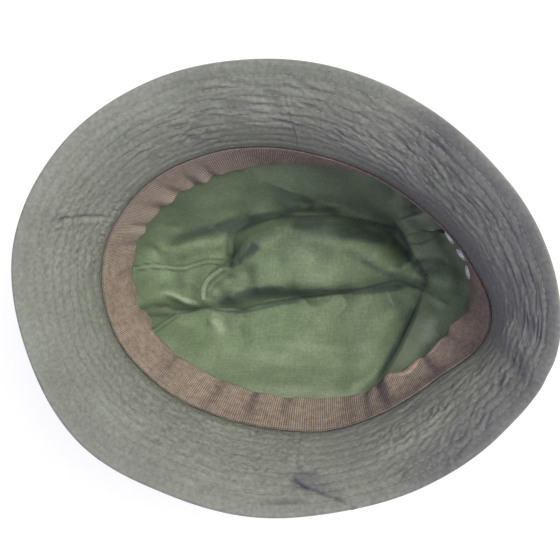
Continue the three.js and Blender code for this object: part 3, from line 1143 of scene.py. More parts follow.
# Creases of the brim, along paths of azimuths and shares of its width.
BRIM_CREASES = tuple(Crease(*row) for row in (
    (-0.9, 0.8, 1.6, 0.8, 1, ((90, 0.0), (90.4, 0.3), (91.8, 0.6), (92.5, 0.72))),
    (0.6, 2.5, 0.8, 0.5, 1, ((89.3, 0.0), (89.7, 0.3), (91.1, 0.6), (91.8, 0.72))),
    (-0.7, 0.9, 1.2, 0.8, 1, ((-89, 0.0), (-89, 0.3), (-89, 0.55))),
    (-1.5, 0.8, 2.4, 0.7, 4, ((-97, 0.53), (-90, 0.535), (-81, 0.555))),
    (-1.0, 1.0, 2.0, 0.7, 2, ((-99.5, 0.58), (-98.4, 0.53), (-97.6, 0.51))),
    (-1.0, 1.0, 2.0, 0.7, 2, ((-102.5, 0.57), (-101.4, 0.53), (-100.6, 0.51))),
    (-1.9, 1.0, 3.4, 0.8, 3, ((-90.7, 0.55), (-87, 0.68), (-82.5, 0.76), (-74.8, 0.92), (-72, 1.02))),
    (0.9, 4.5, 1.0, 0.3, 5, ((-86, 0.74), (-79, 0.87), (-72.6, 1.02))),
    (-1.0, 1.2, 2.6, 0.5, 8, ((-101, 0.86), (-92, 0.83), (-84, 0.85))),
    (2.2, 12, 9, 0.1, 8, ((-9.3, 0.04), (-11.6, 0.52), (-14.1, 0.77), (-19.4, 1.0))),
    (-1.1, 0.9, 2.2, 0.6, 3, ((159.5, 0.08), (160, 0.3), (161.5, 0.5), (163.5, 0.72))),
    (0.6, 1.8, 1.8, 0.3, 3, ((161, 0.08), (161.5, 0.3), (163, 0.5), (165, 0.7))),
    (-0.9, 0.8, 1.4, 0.6, 4, ((171, 0.08), (178, 0.09), (186, 0.07))),
))

# Strokes of the brim's cloth that lie in shade, or catch the light if their rise is below 0.
BRIM_SHADES = tuple(Crease(*row) for row in (
    (0.42, 20, 20, 0, 25, ((-64, 0.9), (-45, 0.9), (-30, 0.88), (-15, 0.86), (0, 0.86), (15, 0.86), (30, 0.86),
                           (45, 0.88), (62, 0.9))),
    (0.3, 9, 1, 0, 6, ((-90, 0.58), (-86, 0.7), (-81, 0.8), (-74, 0.95))),
    (0.3, 9, 8, 0, 15, ((-10, 0.08), (0, 0.1), (15, 0.1), (30, 0.1), (45, 0.08), (62, 0.08))),
    (0.15, 14, 14, 0, 20, ((-168, 0.9), (-150, 0.9), (-135, 0.85), (-120, 0.8))),
    (-0.5, 14, 14, 0, 20, ((115, 0.9), (135, 0.9), (150, 0.9), (165, 0.9))),
    (-0.5, 10, 10, 0, 15, ((120, 0.1), (140, 0.12), (155, 0.12), (170, 0.12))),
    (-0.4, 5, 5, 0, 8, ((-124, 0.2), (-110, 0.25), (-98, 0.25))),
    (-0.5, 5, 5, 0, 8, ((78, 0.28), (65, 0.35), (50, 0.36), (36, 0.33))),
    (-0.4, 5, 5, 0, 8, ((-38, 0.5), (-48, 0.55), (-64, 0.62))),
    (0.25, 7, 7, 0, 8, ((-92, 0.6), (-84, 0.66), (-76, 0.78))),
))


@dataclass
class Brim:
    """The quilted brim: one stuffed band with rows of stitches round it and a turned edge.

    arc is the radius by which angles become lengths in its pattern, groove the half width of a row's groove,
    last_place the last distance out that a face has, and lay_width the width of its pattern.
    """

    form: HatForm
    width: float = 57.0
    columns: int = 860
    first_row: float = 2.0
    row_gap: float = 5.3
    row_count: int = 10
    puff: float = 0.42
    under_puff: float = 0.35
    edge_round: float = 0.9
    stitch_pitch: float = 3.5
    arc: float = 100.0
    groove: float = 0.55
    last_place: float = 56.2
    lay_width: float = 58.0

    def __post_init__(self) -> None:
        """Settle the rows and turn the creases to plan."""
        self.rows = self.first_row + self.row_gap * np.arange(self.row_count)
        self.creases = [self.in_plan(crease) for crease in BRIM_CREASES]
        self.shades = [self.in_plan(crease) for crease in BRIM_SHADES]

    def in_plan(self, crease: Crease) -> Crease:
        """Put a crease into plan.

        Args:
            crease: The crease, along a path of azimuths and shares of the brim's width.

        Returns:
            The same crease along its path in plan.
        """
        azimuth, share = np.array(crease.path, float).T
        start, end = self.form.section(azimuth, "opening"), self.form.section(azimuth, "edge")
        flare = self.form.brim_flare
        reach = start + (end - start) * (share * (1 - flare) + flare * share**2)
        turn = np.radians(azimuth)
        path = tuple(zip(reach * np.cos(turn), reach * np.sin(turn)))
        return crease._replace(path=path)

    def channel(self, v: Array) -> tuple[Array, Array, Array]:
        """Return each place's channel, its share across it, and its distance from the nearest row."""
        channel = np.clip(np.floor((v - self.first_row) / self.row_gap), -1, self.row_count - 1)
        start = self.first_row + channel * self.row_gap
        wide = np.where(channel == self.row_count - 1, self.width + 1.5 - start, self.row_gap)
        share = np.clip((v - start) / wide, 0, 1)
        return channel, share, np.abs(self.rows - v[..., None]).min(-1)

    def puckered(self, azimuth: Array, v: Array) -> Array:
        """Work out how far the drawn-up cloth stands above the plain cloth.

        Args:
            azimuth: Angles round the hat, in degrees.
            v: Distances out from the opening.

        Returns:
            Heights off the face.
        """
        channel, share, _ = self.channel(v)
        bulge = np.sin(math.pi * share) ** 0.6
        height = np.zeros(v.shape)
        for number, patch in enumerate(PUCKERS):
            away = gap_between(azimuth, patch.azimuth)
            window = smooth(patch.spread * 1.3, patch.spread * 0.6, np.abs(away))
            window = window * smooth(patch.inner - 4, patch.inner + 4, v)
            window = window * smooth(patch.outer + 4, patch.outer - 4, v)
            along = np.radians(away) * self.arc
            patchy = np.clip(0.75 + 0.9 * drift(along / 15 + number * 31, v / 10, 40 + number), 0, 1.3)
            slant = math.radians(patch.slant)
            run = along * math.cos(slant) + v * math.sin(slant)
            across = v * math.cos(slant) - along * math.sin(slant) + 0.7 * channel
            across = across + 1.3 * drift(run / (1.3 * patch.length), across / 9, 60 + number)
            wave = drift(run / patch.length, across / patch.width, 70 + number)
            ridge = np.clip(1 - 2.4 * np.abs(wave - 0.1), 0, 1) ** 1.3 + 0.5 * wave - 0.3
            held = patch.kind.value
            height += patch.height * window * patchy * ridge * (held + (1 - held) * bulge)
        return height

    def swell(self, point: Array, u: Array, v: Array) -> tuple[Array, Array]:
        """Return how far both faces move together, and how much of that is creases."""
        creases = pressed(point, self.creases)
        turns = u / FULL_TURN
        wave = 0.9 * drift(turns * 14, v / 45 + 3, 11, 14) + 0.35 * drift(turns * 40, v / 16, 12, 40)
        return creases + wave * smooth(0, 12, v), creases

    def faces(self, u: Array, v: Array, under: bool) -> tuple[Array, Array, Array]:
        """Place points of a face.

        Args:
            u: Angles round the hat.
            v: Distances out from the opening.
            under: Whether it is the face that is turned down.

        Returns:
            The points, the directions out of that face, and its marks of painted shade, painted light and wear.
        """
        u, v = np.broadcast_arrays(u, v)
        share = v / self.width
        point, down = self.form.brim(u, share, 0 * v)
        azimuth = np.degrees(np.arctan2(point[..., 1], point[..., 0]))
        swell, creases = self.swell(point, u, v)
        channel, part, away = self.channel(v)
        bulge = 1 - np.abs(2 * part - 1) ** 2.4
        inside = smooth(self.width + 1, self.width - 2, v)
        pucker = self.puckered(azimuth, v)
        lively = 0.8 + 0.5 * drift(azimuth / 11 + 50, v / 12, 21)
        if under:
            pucker_under = 0.6 * self.puckered(azimuth + 47, v)
            relief = -swell + (self.under_puff * bulge * lively + pucker_under) * inside
            depth = self.form.brim_thick + relief
            out = down
        else:
            relief = swell + (self.puff * bulge * lively + pucker) * inside
            depth = -relief
            out = -down
        tone = pressed(point, self.shades)
        marks = np.zeros(v.shape + (3,))
        # painted shade in the grooves along the rows of stitches
        marks[..., 0] = np.exp(-((away / self.groove) ** 2))
        # painted highlights on pucker crests, wear on the turned edge, and painted light strokes
        marks[..., 1] = np.clip(pucker * 1.3, 0, 1) * 0.6 + smooth(self.width - 1.5, self.width, v) * 0.5
        marks[..., 1] += np.clip(-tone, 0, 1)
        # painted shade in creases, pucker troughs, near the opening and along shaded strokes
        marks[..., 2] = np.clip(-creases * 0.3 - pucker * 0.55, 0, 0.7) + 0.4 * smooth(5, 0, v)
        marks[..., 2] += np.clip(tone, 0, 1)
        return point + down * depth[..., None], out, marks

    def face_rows(self, shares: Sequence[float], edge: Sequence[float]) -> Array:
        """Return distances out from the opening, with the same shares of each channel, then the edge's."""
        channels = [row + self.row_gap * np.array(shares) for row in self.rows[:-1]]
        return np.concatenate([[0, 1.0], *channels, self.rows[-1:], np.array(edge)])

    def build(self) -> bpy.types.Object:
        """Make the brim's mesh.

        Returns:
            The brim.
        """
        last = self.rows[-1]
        shares, steps = (0, 0.09, 0.22, 0.4, 0.6, 0.78, 0.91), (0.5, 1.6, 3, 4.6)
        top = self.face_rows(shares, (*(last + step for step in steps), self.last_place))
        low = self.face_rows((0, 0.25, 0.75), (last + 0.6, last + 2.5, last + 5, self.last_place))[::-1]
        u = turned(self.columns)[:, None]
        upper, _, upper_marks = self.faces(u, top[None], False)
        lower, _, lower_marks = self.faces(u, low[None], True)
        turns = np.radians([30, 60, 90, 120, 150])[None, :, None]
        a, b = upper[:, -1:], lower[:, :1]
        outwards = unit(a - upper[:, -2:-1])
        rim = (a + b) / 2 + (a - b) / 2 * np.cos(turns) + outwards * self.edge_round * np.sin(turns)
        rim_marks = np.repeat(upper_marks[:, -1:], rim.shape[1], 1)
        points = np.concatenate([upper, rim, lower], 1)
        marks = np.concatenate([upper_marks, rim_marks, lower_marks], 1)
        wide = self.lay_width
        across = np.concatenate([top, np.full(rim.shape[1], wide - 0.5), 2 * wide - low, [2 * wide + 2]])
        along = np.linspace(0, FULL_TURN * self.arc, self.columns + 1)
        return wrapped_grid("brim_cloth", Layout(points, strip_lay(along, across), marks))

    def stitch_lines(self, under: bool) -> list[tuple[Array, Array]]:
        """Follow every row of stitches on one face.

        Args:
            under: Whether it is the face that is turned down.

        Returns:
            Points along each row, and the directions off the cloth there.
        """
        found = []
        for number, row in enumerate(self.rows):
            u = turned(2400) + 0.37 * number
            wander = 0.12 * drift(u / FULL_TURN * 60, np.full(u.shape, number + 0.5), 33, 60)
            point, out, _ = self.faces(u, row + wander, under)
            found.append((point, out))
        return found


# ---- crown
# The valleys behind the tip's panel, before it, and down the front right.
BACK_VALLEY = (
    (-49, 8), (-50.5, 19), (-48.5, 29), (-38, 33), (-23, 36.7), (-6, 37.7), (10, 38), (22, 36.5), (36, 33.7),
    (52, 30)
)
FRONT_VALLEY = (
    (-98, -12), (-93.9, -16.8), (-86.6, -20.8), (-74.6, -19.8), (-62.6, -17), (-46.6, -18.7), (-24.2, -12.8),
    (-6.6, -9.8), (19.6, -6), (34.1, -3.2), (48.6, 1), (57, -1), (64.5, -3)
)
RIGHT_VALLEY = ((65, -4), (62, -10), (58, -20), (53.5, -29.7), (49, -39), (42.5, -50), (38, -58))
CROWN_CREASES = tuple(Crease(*row) for row in (
    # the valleys, and the lip of the one down the front right
    (-2.4, 1.6, 7, 0.6, 8, BACK_VALLEY, 0.35),
    (0, 3, 3, 1.0, 8, BACK_VALLEY[2:], 0.5),
    (-2.6, 6, 3, 0.7, 8, FRONT_VALLEY, 0.35),
    (0, 1.6, 1.2, 0.6, 10, FRONT_VALLEY, 0.5),
    (-2.6, 2.5, 4.5, 0.5, 8, RIGHT_VALLEY, 0.5),
    (4.2, 12, 2.2, 0.25, 10, ((65, -12), (61, -20.5), (56.5, -30), (52, -39), (45.5, -50), (41, -58)), -0.5),
    # slopes that lie in the shade of what stands over them
    (0, 2, 9, 0, 4, ((-49.5, 10), (-49.5, 20), (-47, 28.5), (-38, 34)), 0.35),
    (-1.6, 2, 6, 0.5, 4, ((-44, 10), (-38, 14.5), (-33, 20), (-31, 24)), 0.5),
    (0, 5.5, 5, 0, 12, ((-62, -13), (-46, -12.5), (-28, -7), (-12, -6), (4, -5.5), (20, -4.5)), 0.6),
    (0.8, 1, 8, 0.2, 10, ((-27, 59), (-11, 52), (0, 47.5), (19.6, 39.5)), 0.4),
    (-2.2, 9, 7, 0.2, 14, ((-94, 21), (-80, 25), (-66, 29), (-50, 30)), 0.5),
    (-1.6, 4, 4, 0.5, 6, ((26.7, 13.6), (40.6, 6.9), (50, 2)), 0.35),
    # ridges with light on them
    (2.4, 3, 3.5, 0.5, 5, ((-88, -5), (-81, -8.8), (-75, -12), (-69, -14.2), (-62.5, -14.3)), -0.9),
    (1.6, 1.6, 1.6, 0.3, 2, ((-61.8, -12.5), (-62.3, -5.3), (-59.6, 0.7), (-55.3, 4.8), (-50, 8)), -0.9),
    (0, 0.3, 2.4, 0, 4, ((-60.2, -12), (-60.8, -5), (-58, 0), (-53.5, 3.6), (-47, 8)), 0.7),
    (1.5, 7, 7, 0.2, 12, ((-97, 10.5), (-84, 15), (-70, 21), (-55, 24)), -0.35),
    (1.5, 6, 2.5, 0.5, 6, ((40.2, 56), (45.5, 45.7), (50.8, 35.2), (55.8, 25.2), (59.1, 12.8))),
    # bump at the right end and the lines that run off it
    (-2.0, 3, 3, 0.6, 3, ((59, 11.5), (65.8, 13), (74.1, 13.3), (79, 12)), 0.6),
    (-1.5, 3, 3, 0.6, 3, ((60.1, 11), (63.5, 6.5), (67.4, 1.9)), 0.4),
    (-1.0, 1.6, 1.6, 0.6, 5, ((65.6, -3), (71.4, -7.6), (82.6, -11.2)), 0.6),
    (-0.4, 0.9, 0.9, 0, 3, ((56.4, 23.5), (63, 23), (69.6, 26), (76, 31)), 0.8),
    (0.2, 0.9, 0.9, 0, 3, ((43, -4), (45.3, -9), (48.5, -14)), -0.7),
    # the side's own seam: two rows of stitches
    (-0.3, 0.8, 0.8, 0, 2, ((-99, 9.5), (-93, 9.8), (-77.2, 8), (-62.1, 12), (-50.5, 12)), 0.8),
    (-0.3, 0.8, 0.8, 0, 2, ((-99, 6.5), (-93, 6.8), (-77.2, 5), (-62.1, 9.2), (-52, 9)), 0.8),
    (0.3, 1.3, 1.3, 0, 2, ((-99, 8), (-93, 8.3), (-77.2, 6.5), (-72, 7.5)), -0.5),
    (-0.3, 0.7, 0.7, 0, 2, ((-80, -19), (-86, -25), (-92, -33)), 0.7),
    (-0.3, 0.7, 0.7, 0, 2, ((-78, -21), (-84, -27), (-90, -35)), 0.7),
    # the floor before the tip's panel
    (1.8, 5, 4, 0.2, 4, ((-62, -20), (-56, -26), (-51.7, -33)), -0.9),
    (-1.4, 4, 5, 0.4, 5, ((-40.7, -18), (-48.5, -23.2), (-49.7, -31.7)), 0.35),
    (-1.6, 6, 6, 0.2, 6, ((-39.9, -22), (-38.5, -31.7), (-39, -42)), 0.3),
    (0, 3.5, 3.5, 0, 14, ((-35, -37), (-6, -38), (20, -39), (43, -33)), -0.25),
    (-0.5, 3.5, 3.5, 0, 14, ((-31, -49), (-5, -50), (21, -51)), 0.2),
    (0.4, 3, 3, 0, 14, ((-27, -58), (-4, -59), (19, -57)), -0.35),
))


class Shade(NamedTuple):
    """A stroke of the lining that lies in shade, or catches the light if its tone is below 0."""

    tone: float
    left: float
    right: float
    fade: float
    path: Path


SHADES = tuple(Shade(*row) for row in (
    # the hollow at the back left and the foot of the back wall
    (0.45, 6, 6, 8, ((-86, 17), (-76, 21), (-64, 26), (-52, 29), (-40, 33), (-26, 38))),
    (0.7, 4, 4, 6, ((-56, 29), (-44, 32), (-32, 36), (-20, 39), (-8, 41))),
    (-0.3, 6, 6, 8, ((-70, 44), (-52, 47), (-36, 48))),
    (-0.25, 6, 6, 8, ((-4, 52), (8, 51), (20, 50))),
    (0.3, 5, 5, 6, ((32, 58), (40, 54), (47, 46))),
    # the dark strip behind the tip's panel
    (0.6, 4.5, 5.5, 10, ((-16, 34), (-6, 34.5), (6, 33.5), (16, 32), (26, 31), (36, 28))),
    (0.55, 4, 4, 6, ((16, 29), (28, 27), (38, 25), (46, 23))),
    (0.6, 5, 5, 6, ((32, 27), (40, 26), (47, 22), (55, 15))),
    (0.8, 2, 3.5, 5, ((46, 36), (51, 31), (54, 25.5), (57, 19), (59.5, 12))),
    # the panel's left end
    (0.6, 7.5, 6.5, 7, ((-48, 9), (-42, 14), (-36, 20), (-28, 26), (-16, 31))),
    (0.35, 0.5, 3.5, 4, ((-58.5, -13), (-58.5, -7), (-55.5, -2), (-50, 2), (-44, 6))),
    (0.3, 6, 6, 6, ((-84, 2), (-77, -3), (-68, -8))),
    (0.75, 1.8, 1.8, 5, ((-89, -14), (-82, -17.2), (-74, -17.8), (-64, -16.8))),
    # the slope before the panel, and the line at its foot
    (0.55, 3, 3, 6, ((-52, -10), (-42, -8.5), (-30, -5.5), (-16, -5))),
    (0.7, 1.6, 1.6, 8, ((-48, -20.3), (-34, -17.5), (-18, -14), (-3, -11.5))),
    (0.75, 2.4, 2.4, 6, ((10, -7.5), (24, -5.5), (38, -3), (50, -1), (60, -2.5), (68, -5))),
    # where the folds meet at the right
    (0.75, 4, 4, 4, ((56, 20), (58.5, 14), (62, 9), (66, 4), (66, -4))),
    (0.55, 4, 6, 4, ((64, 10), (70, 8), (77, 9))),
    (0.4, 8, 8, 8, ((44, -6), (50, -10), (53, -18), (52, -27))),
    (0.2, 9, 9, 12, ((32, -21), (36, -31), (42, -39))),
    (0.5, 1, 4, 6, ((61, -12), (58, -20), (53.5, -29.7), (49, -39), (42.5, -50), (38, -58))),
    (0.3, 1, 10, 8, ((60, -14), (57, -22), (53, -30), (48, -39), (42, -49))),
    (-0.5, 4, 4, 5, ((69, -6), (73, -11), (78, -15))),
    (-0.5, 7, 7, 8, ((58, 45), (65, 37), (72, 28), (78, 23))),
    # the broad floor before the panel
    (-0.3, 6, 6, 8, ((-80, -28), (-78, -36), (-72, -43))),
    (-0.6, 2.5, 2.5, 5, ((-60, -22), (-57, -28), (-55, -34))),
    (-0.25, 8, 8, 12, ((-60, -43), (-38, -45), (-18, -46), (-2, -45))),
    (-0.35, 6, 6, 12, ((-42, -59), (-18, -61), (6, -63), (24, -63), (36, -58))),
    # finer strokes over those, all round the hollow
    (0.7, 3.5, 3.5, 6, ((-14, 41.5), (-2, 42), (10, 41), (20, 39.5))),
    (0.6, 3, 3, 5, ((-38, 34.5), (-28, 37), (-16, 38.5))),
    (0.35, 5, 5, 8, ((-12, 32), (2, 30), (14, 27.5), (26, 25))),
    (0.4, 3, 3, 5, ((26, 31), (34, 28), (41, 24))),
    (0.5, 2.5, 2.5, 4, ((-60, 2.5), (-51, 8), (-42, 11.5))),
    (0.25, 4, 4.5, 7, ((-58, -12.5), (-46, -11.5), (-34, -9), (-22, -7), (-8, -6), (6, -6))),
    (0.5, 2.2, 2.2, 5, ((-52, -7), (-46, -6.4), (-40, -6.2), (-34, -4), (-24, -2.8), (-12, -3.2))),
    (0.5, 1.4, 1.4, 6, ((-32, -15), (-18, -12.5), (-2, -9.5))),
    (0.8, 3, 3, 5, ((22, -6.5), (36, -5.5), (46, -4), (56, -1.5))),
    (0.5, 4, 4, 4, ((58, 3), (63, 0), (67, -4))),
    (0.6, 3, 2.5, 4, ((53, 20), (55.5, 15), (58, 10))),
    (0.35, 5, 5, 6, ((-94, -1), (-86, -4), (-78, -6))),
    (-0.4, 5, 5, 5, ((68, -4), (72, -9), (76, -13))),
    (-0.9, 10, 8, 10, ((66, -18), (62, -28), (57, -40), (50, -52))),
    (-0.6, 5, 5, 5, ((68, 35), (72, 30), (76, 25))),
    (-0.5, 4, 4, 4, ((55, 49), (61, 44), (66, 39))),
    (-0.6, 3.5, 3.5, 4, ((47, 22), (51, 17), (54, 12))),
    (-0.3, 6, 6, 6, ((-60, -36), (-58, -44), (-56, -52))),
    (-0.3, 6, 6, 8, ((-34, -42), (-22, -45), (-10, -46))),
    (-0.4, 5, 5, 8, ((4, -62), (20, -63), (36, -59))),
    (-0.35, 4.5, 4.5, 4, ((-31, 9), (-29, 4), (-27, -1))),
    (-0.25, 5, 5, 6, ((-24, 17), (-8, 18), (12, 18))),
    (-0.35, 4, 4, 5, ((-101, 0), (-97, -12), (-92, -21))),
    (-0.3, 5, 5, 4, ((-88, 15), (-82, 13), (-76, 11))),
    (0.6, 3, 3, 4, ((-58, 30), (-50, 34), (-42, 37), (-34, 39))),
    (0.5, 4, 4, 4, ((-16, 39), (-6, 41), (4, 42))),
    (0.4, 6, 6, 8, ((-14, 32), (2, 29), (16, 28), (30, 27), (42, 25))),
    (0.5, 1.6, 1.6, 5, ((6, -4.5), (20, -4.5), (34, -4))),
    (0.3, 7, 7, 6, ((42, -4), (48, -10), (50, -18))),
    (0.6, 2.5, 2, 4, ((51, 31), (54.5, 26), (57, 19))),
    (-0.6, 5, 5, 5, ((72, -16), (68, -24), (64, -32))),
    (-0.5, 3, 3, 4, ((-102, 2), (-100, -5), (-97, -10))),
    (-0.3, 5, 5, 8, ((30, -63), (38, -58), (44, -50))),
    (0.3, 6, 7, 8, ((-88, 22), (-74, 26), (-60, 30), (-48, 33), (-40, 35))),
    (0.25, 3, 3, 6, ((0, 34.5), (20, 34), (40, 32))),
    (0.45, 4, 4, 4, ((-37, 14), (-33, 18), (-28, 22))),
    (0.45, 2.5, 2.5, 3, ((-49, 7.5), (-45, 9), (-41, 11))),
    (0.35, 2.5, 2.5, 4, ((-59, -11), (-58.5, -7), (-56.5, -3))),
    (-0.3, 3, 3, 3, ((-50, 17), (-47, 17.5), (-44, 17.5))),
    (-0.3, 3, 3, 4, ((20, 29), (26, 29), (32, 28.5))),
    (-0.5, 2.5, 2.5, 4, ((-83, -9), (-74, -11.5), (-64, -13.5))),
    (-0.35, 4, 4, 4, ((71.5, -22), (69.5, -27), (66.5, -32))),
    (-0.3, 5, 5, 6, ((8, -60), (22, -61), (36, -58))),
    (-0.35, 4, 4, 4, ((56, 47), (60, 45), (64, 41))),
    (-0.35, 4, 4, 4, ((65, 33), (70, 30), (75, 26))),
    (0.55, 2.5, 2.5, 3, ((-46, 8.5), (-41, 10.5), (-37, 13))),
    (0.6, 3.5, 3.5, 3.5, ((-34, 16), (-30, 19), (-26, 22))),
    (0.35, 5, 5, 6, ((-50, 24), (-44, 30), (-34, 34), (-22, 36.5))),
    (0.3, 3, 3, 5, ((-30, 41), (-18, 43), (-4, 43.5))),
    (0.35, 4, 4, 5, ((-16, 28), (-8, 26), (0, 25))),
    (0.4, 2.5, 2.5, 3, ((-59, -10), (-56, -9.7), (-53, -9.5))),
    (0.25, 4, 4, 4, ((-80, -3), (-76, -4), (-72, -5))),
    (-0.9, 2.2, 2.2, 4, ((-84, -9), (-76, -11.5), (-66, -13.5))),
    (-0.8, 3, 3, 4, ((40.5, -49), (34, -54), (24, -58))),
    (-0.4, 3, 3, 4, ((74, -24), (71, -29), (67, -33))),
    (-0.35, 5, 5, 5, ((60, 36), (63, 30), (66, 25))),
    (0.3, 5, 5, 5, ((38, -14), (44, -14), (48, -17))),
))
# The shell has only the valleys, wider than the lining's, which lies in them.
SHELL_CREASES = tuple(
    crease._replace(left=crease.left + 3, right=crease.right + 3)
    for crease in CROWN_CREASES
    if crease.rise < 0
)
# The tip's seam in plan, and the angle round the opening, in degrees, of the cloth that meets it there.
TIP_SEAM = (
    (63, 13, 2), (56, 21, 17), (47, 27.5, 33), (34, 33, 50), (20, 35, 66), (9, 34.7, 80), (-5, 33.5, 95),
    (-13, 32, 103), (-25, 29, 116), (-34, 25, 128), (-40, 18, 138), (-44, 12, 147), (-49.5, 8.4, 156),
    (-55, 4.8, 164), (-59.6, 0.7, 171), (-62.3, -5, 178), (-62, -11, 184), (-67, -15, 189), (-75, -17.5, 194),
    (-83, -20.5, 199), (-87, -24, 203.5), (-85.5, -30.5, 209), (-78, -39.5, 218), (-65, -48, 229),
    (-45, -56, 243), (-20, -61, 258), (0, -63, 270), (20, -62, 283), (36, -59, 292), (42.5, -50, 298),
    (49, -39, 307), (53.5, -29.7, 315), (58, -20, 323), (62, -10, 332), (65, -3, 341), (66, 4, 351),
    (63, 13, 362),
)
TIP_MIDDLE = (-5, -20)


@dataclass
class Crown:
    """The crown's four sheets: the lining's side and tip, and the shell's side and tip over them.

    The tucks say how far each face of a tip is turned under the side at the seam, or inwards if below 0, and
    tuck_end where that fades. arc is the radius by which angles become lengths in the pattern, and fine the
    number of places down a column that its rows are spaced from.
    """

    form: HatForm
    columns: int = 520
    rows: int = 108
    back_rows: int = 26
    shell_columns: int = 420
    shell_rows: int = 56
    shell_back_rows: int = 36
    shell: float = 0.8
    seam_roll: float = 0.4
    seam_reach: float = 2.6
    overlap: float = 1.2
    hang: float = 1.3
    reach_up: float = 0.3
    lining_tucks: tuple[float, float] = (0.95, 0.45)
    shell_tucks: tuple[float, float] = (-0.45, -0.85)
    tuck_end: tuple[float, float] = (3.0, 1.2)
    arc: float = 92.0
    fine: int = 240

    def seam(self, count: int) -> Array:
        """Return places in plan, evenly spaced along the tip's seam, with the angles that meet them."""
        line = curve_through(TIP_SEAM, 0.5)
        walked = walk(line[:, :2])
        return places_on(line, walked, np.arange(count) / count * walked[-1])

    def paced(self, points: Array, count: int) -> tuple[Array, Array]:
        """Space rows evenly along the cloth.

        Args:
            points: Points down each column.
            count: The number of rows.

        Returns:
            Each row's share of the way down its column, and its distance along the cloth.
        """
        step = np.linalg.norm(np.diff(points, axis=1), axis=-1)
        walked = np.concatenate([np.zeros((len(points), 1)), np.cumsum(step, axis=1)], 1)
        stops = np.linspace(0, 1, count) * walked[:, -1:]
        share = np.linspace(0, 1, points.shape[1])
        return np.stack([np.interp(s, w, share) for s, w in zip(stops, walked)]), stops

    def side_ends(self, columns: int) -> tuple[Array, Array, Array]:
        """Return each side column's angle at the opening, its angle at the seam, and its last ring."""
        seam = self.seam(columns)
        head = np.radians(seam[:, 2])
        angle, ring = self.form.unwound(seam[:, :2])
        return head, head + (angle - head + math.pi) % FULL_TURN - math.pi, ring

    def softness(self, point: Array) -> Array:
        """Return the small uneven rise that all the layers share."""
        x, y, z = (point[..., k] for k in range(3))
        wave = 0.35 * drift(x / 26 + z / 31, y / 20 - z / 37 + 9, 5)
        return wave + 0.2 * drift(x / 14 + z / 17, y / 8 - z / 11 + 4, 6)

    def marks(self, point: Array, to_seam: Array) -> Array:
        """Work out the cloth's painted shade and painted light, and where it is lighter along the seam.

        Args:
            point: Its places.
            to_seam: Their distances from the seam.

        Returns:
            Each place's painted shade by the seam's stitches, its lighter tone along the rolled seam and
            painted light, and its painted shade.
        """
        shade = np.zeros((*to_seam.shape, 3))
        # painted shade in a line by the seam's stitches
        shade[..., 0] = np.exp(-(((to_seam - 1.6) / 0.8) ** 2)) * 0.35
        tones = [crease._replace(rise=crease.tone) for crease in CROWN_CREASES if crease.tone]
        tones += [Crease(tone, left, right, 0, fade, path) for tone, left, right, fade, path in SHADES]
        tone = pressed(point, tones)
        # lighter along the rolled seam, and painted light where the strokes' tone is below 0
        shade[..., 1] = np.clip(np.exp(-((to_seam / self.seam_reach) ** 2)) * 0.4 - tone, 0, 1)
        # painted shade of the creases' and strokes' tones
        shade[..., 2] = np.clip(tone, 0, 1)
        return shade

    def side_rows(self, ends: Sequence[Array], count: int) -> tuple[Array, Array, Array]:
        """Space rows down the side's columns.

        Args:
            ends: The ends of the columns, as side_ends returns them.
            count: The number of rows.

        Returns:
            Each place's angle, its ring, and its distance along the cloth.
        """
        head, angle, last = (a[:, None] for a in ends)
        fine = np.linspace(0, 1, self.fine)
        share, walked = self.paced(self.form.lying(head + (angle - head) * fine, last * fine), count)
        return head + (angle - head) * share, last * share, walked

    def side_face(
        self, ends: Sequence[Array], depth: float, creases: Sequence[Crease], count: int
    ) -> Layout:
        """Lay one face of the side, from the opening to the seam.

        Args:
            ends: The ends of its columns.
            depth: The face's depth.
            creases: The folds pressed into it.
            count: The number of rows.

        Returns:
            Its layout.
        """
        u, t, walked = self.side_rows(ends, count)
        to_seam = walked[:, -1:] - walked
        place = self.form.bag(u, t)
        rise = self.softness(place) + self.seam_roll * np.exp(-((to_seam / self.seam_reach) ** 2))
        if depth > self.form.lining:
            rise = rise - self.hang * smooth(0.7, 1.15, t)
        else:
            rise = rise + self.form.sag(u) * smooth(0.05, 0.9, t) * smooth(1.15, 0.98, t)
        points = self.form.crown(u, t, depth, creases, rise)
        if depth > self.form.lining:
            points[..., 2] += (self.form.brim_lift + self.reach_up * depth) * smooth(5, 0, walked)
        turn = turned(len(u))[:, None]
        lay = np.stack([np.broadcast_to(turn * self.arc, walked.shape), walked], -1)
        return Layout(points, lay, self.marks(place, to_seam))

    def tip_face(
        self, edge: Array, depth: float, creases: Sequence[Crease], count: int, tuck: float
    ) -> Layout:
        """Lay one face of the tip, from the seam to its middle.

        Args:
            edge: Its edge in plan.
            depth: The face's depth.
            creases: The folds pressed into it.
            count: The number of rows.
            tuck: How far its edge is turned under the side's.

        Returns:
            Its layout.
        """
        shell = depth > self.form.lining
        edge, inwards = edge[:, None], (np.array(TIP_MIDDLE, float) - edge)[:, None]

        def on_floor(share: Array) -> Array:
            """Return the places at these shares of the way to the tip's middle."""
            plan = edge + inwards * share[..., None]
            return np.concatenate([plan, self.form.floor(plan[..., 0], plan[..., 1])[..., None]], -1)

        share, walked = self.paced(on_floor(np.linspace(0, 1, self.fine)), count)
        place = on_floor(share)
        plan = place[..., :2]
        bulge = self.seam_roll * np.exp(-(((walked - 2.6) / 1.6) ** 2))
        rise = self.softness(place) + bulge - (self.hang if shell else 0)
        along = np.linalg.norm(plan - edge, axis=-1) if shell else walked
        points = self.form.tip(plan, depth, creases, rise, tuck * smooth(*self.tuck_end, along))
        return Layout(points, plan, self.marks(place, walked))

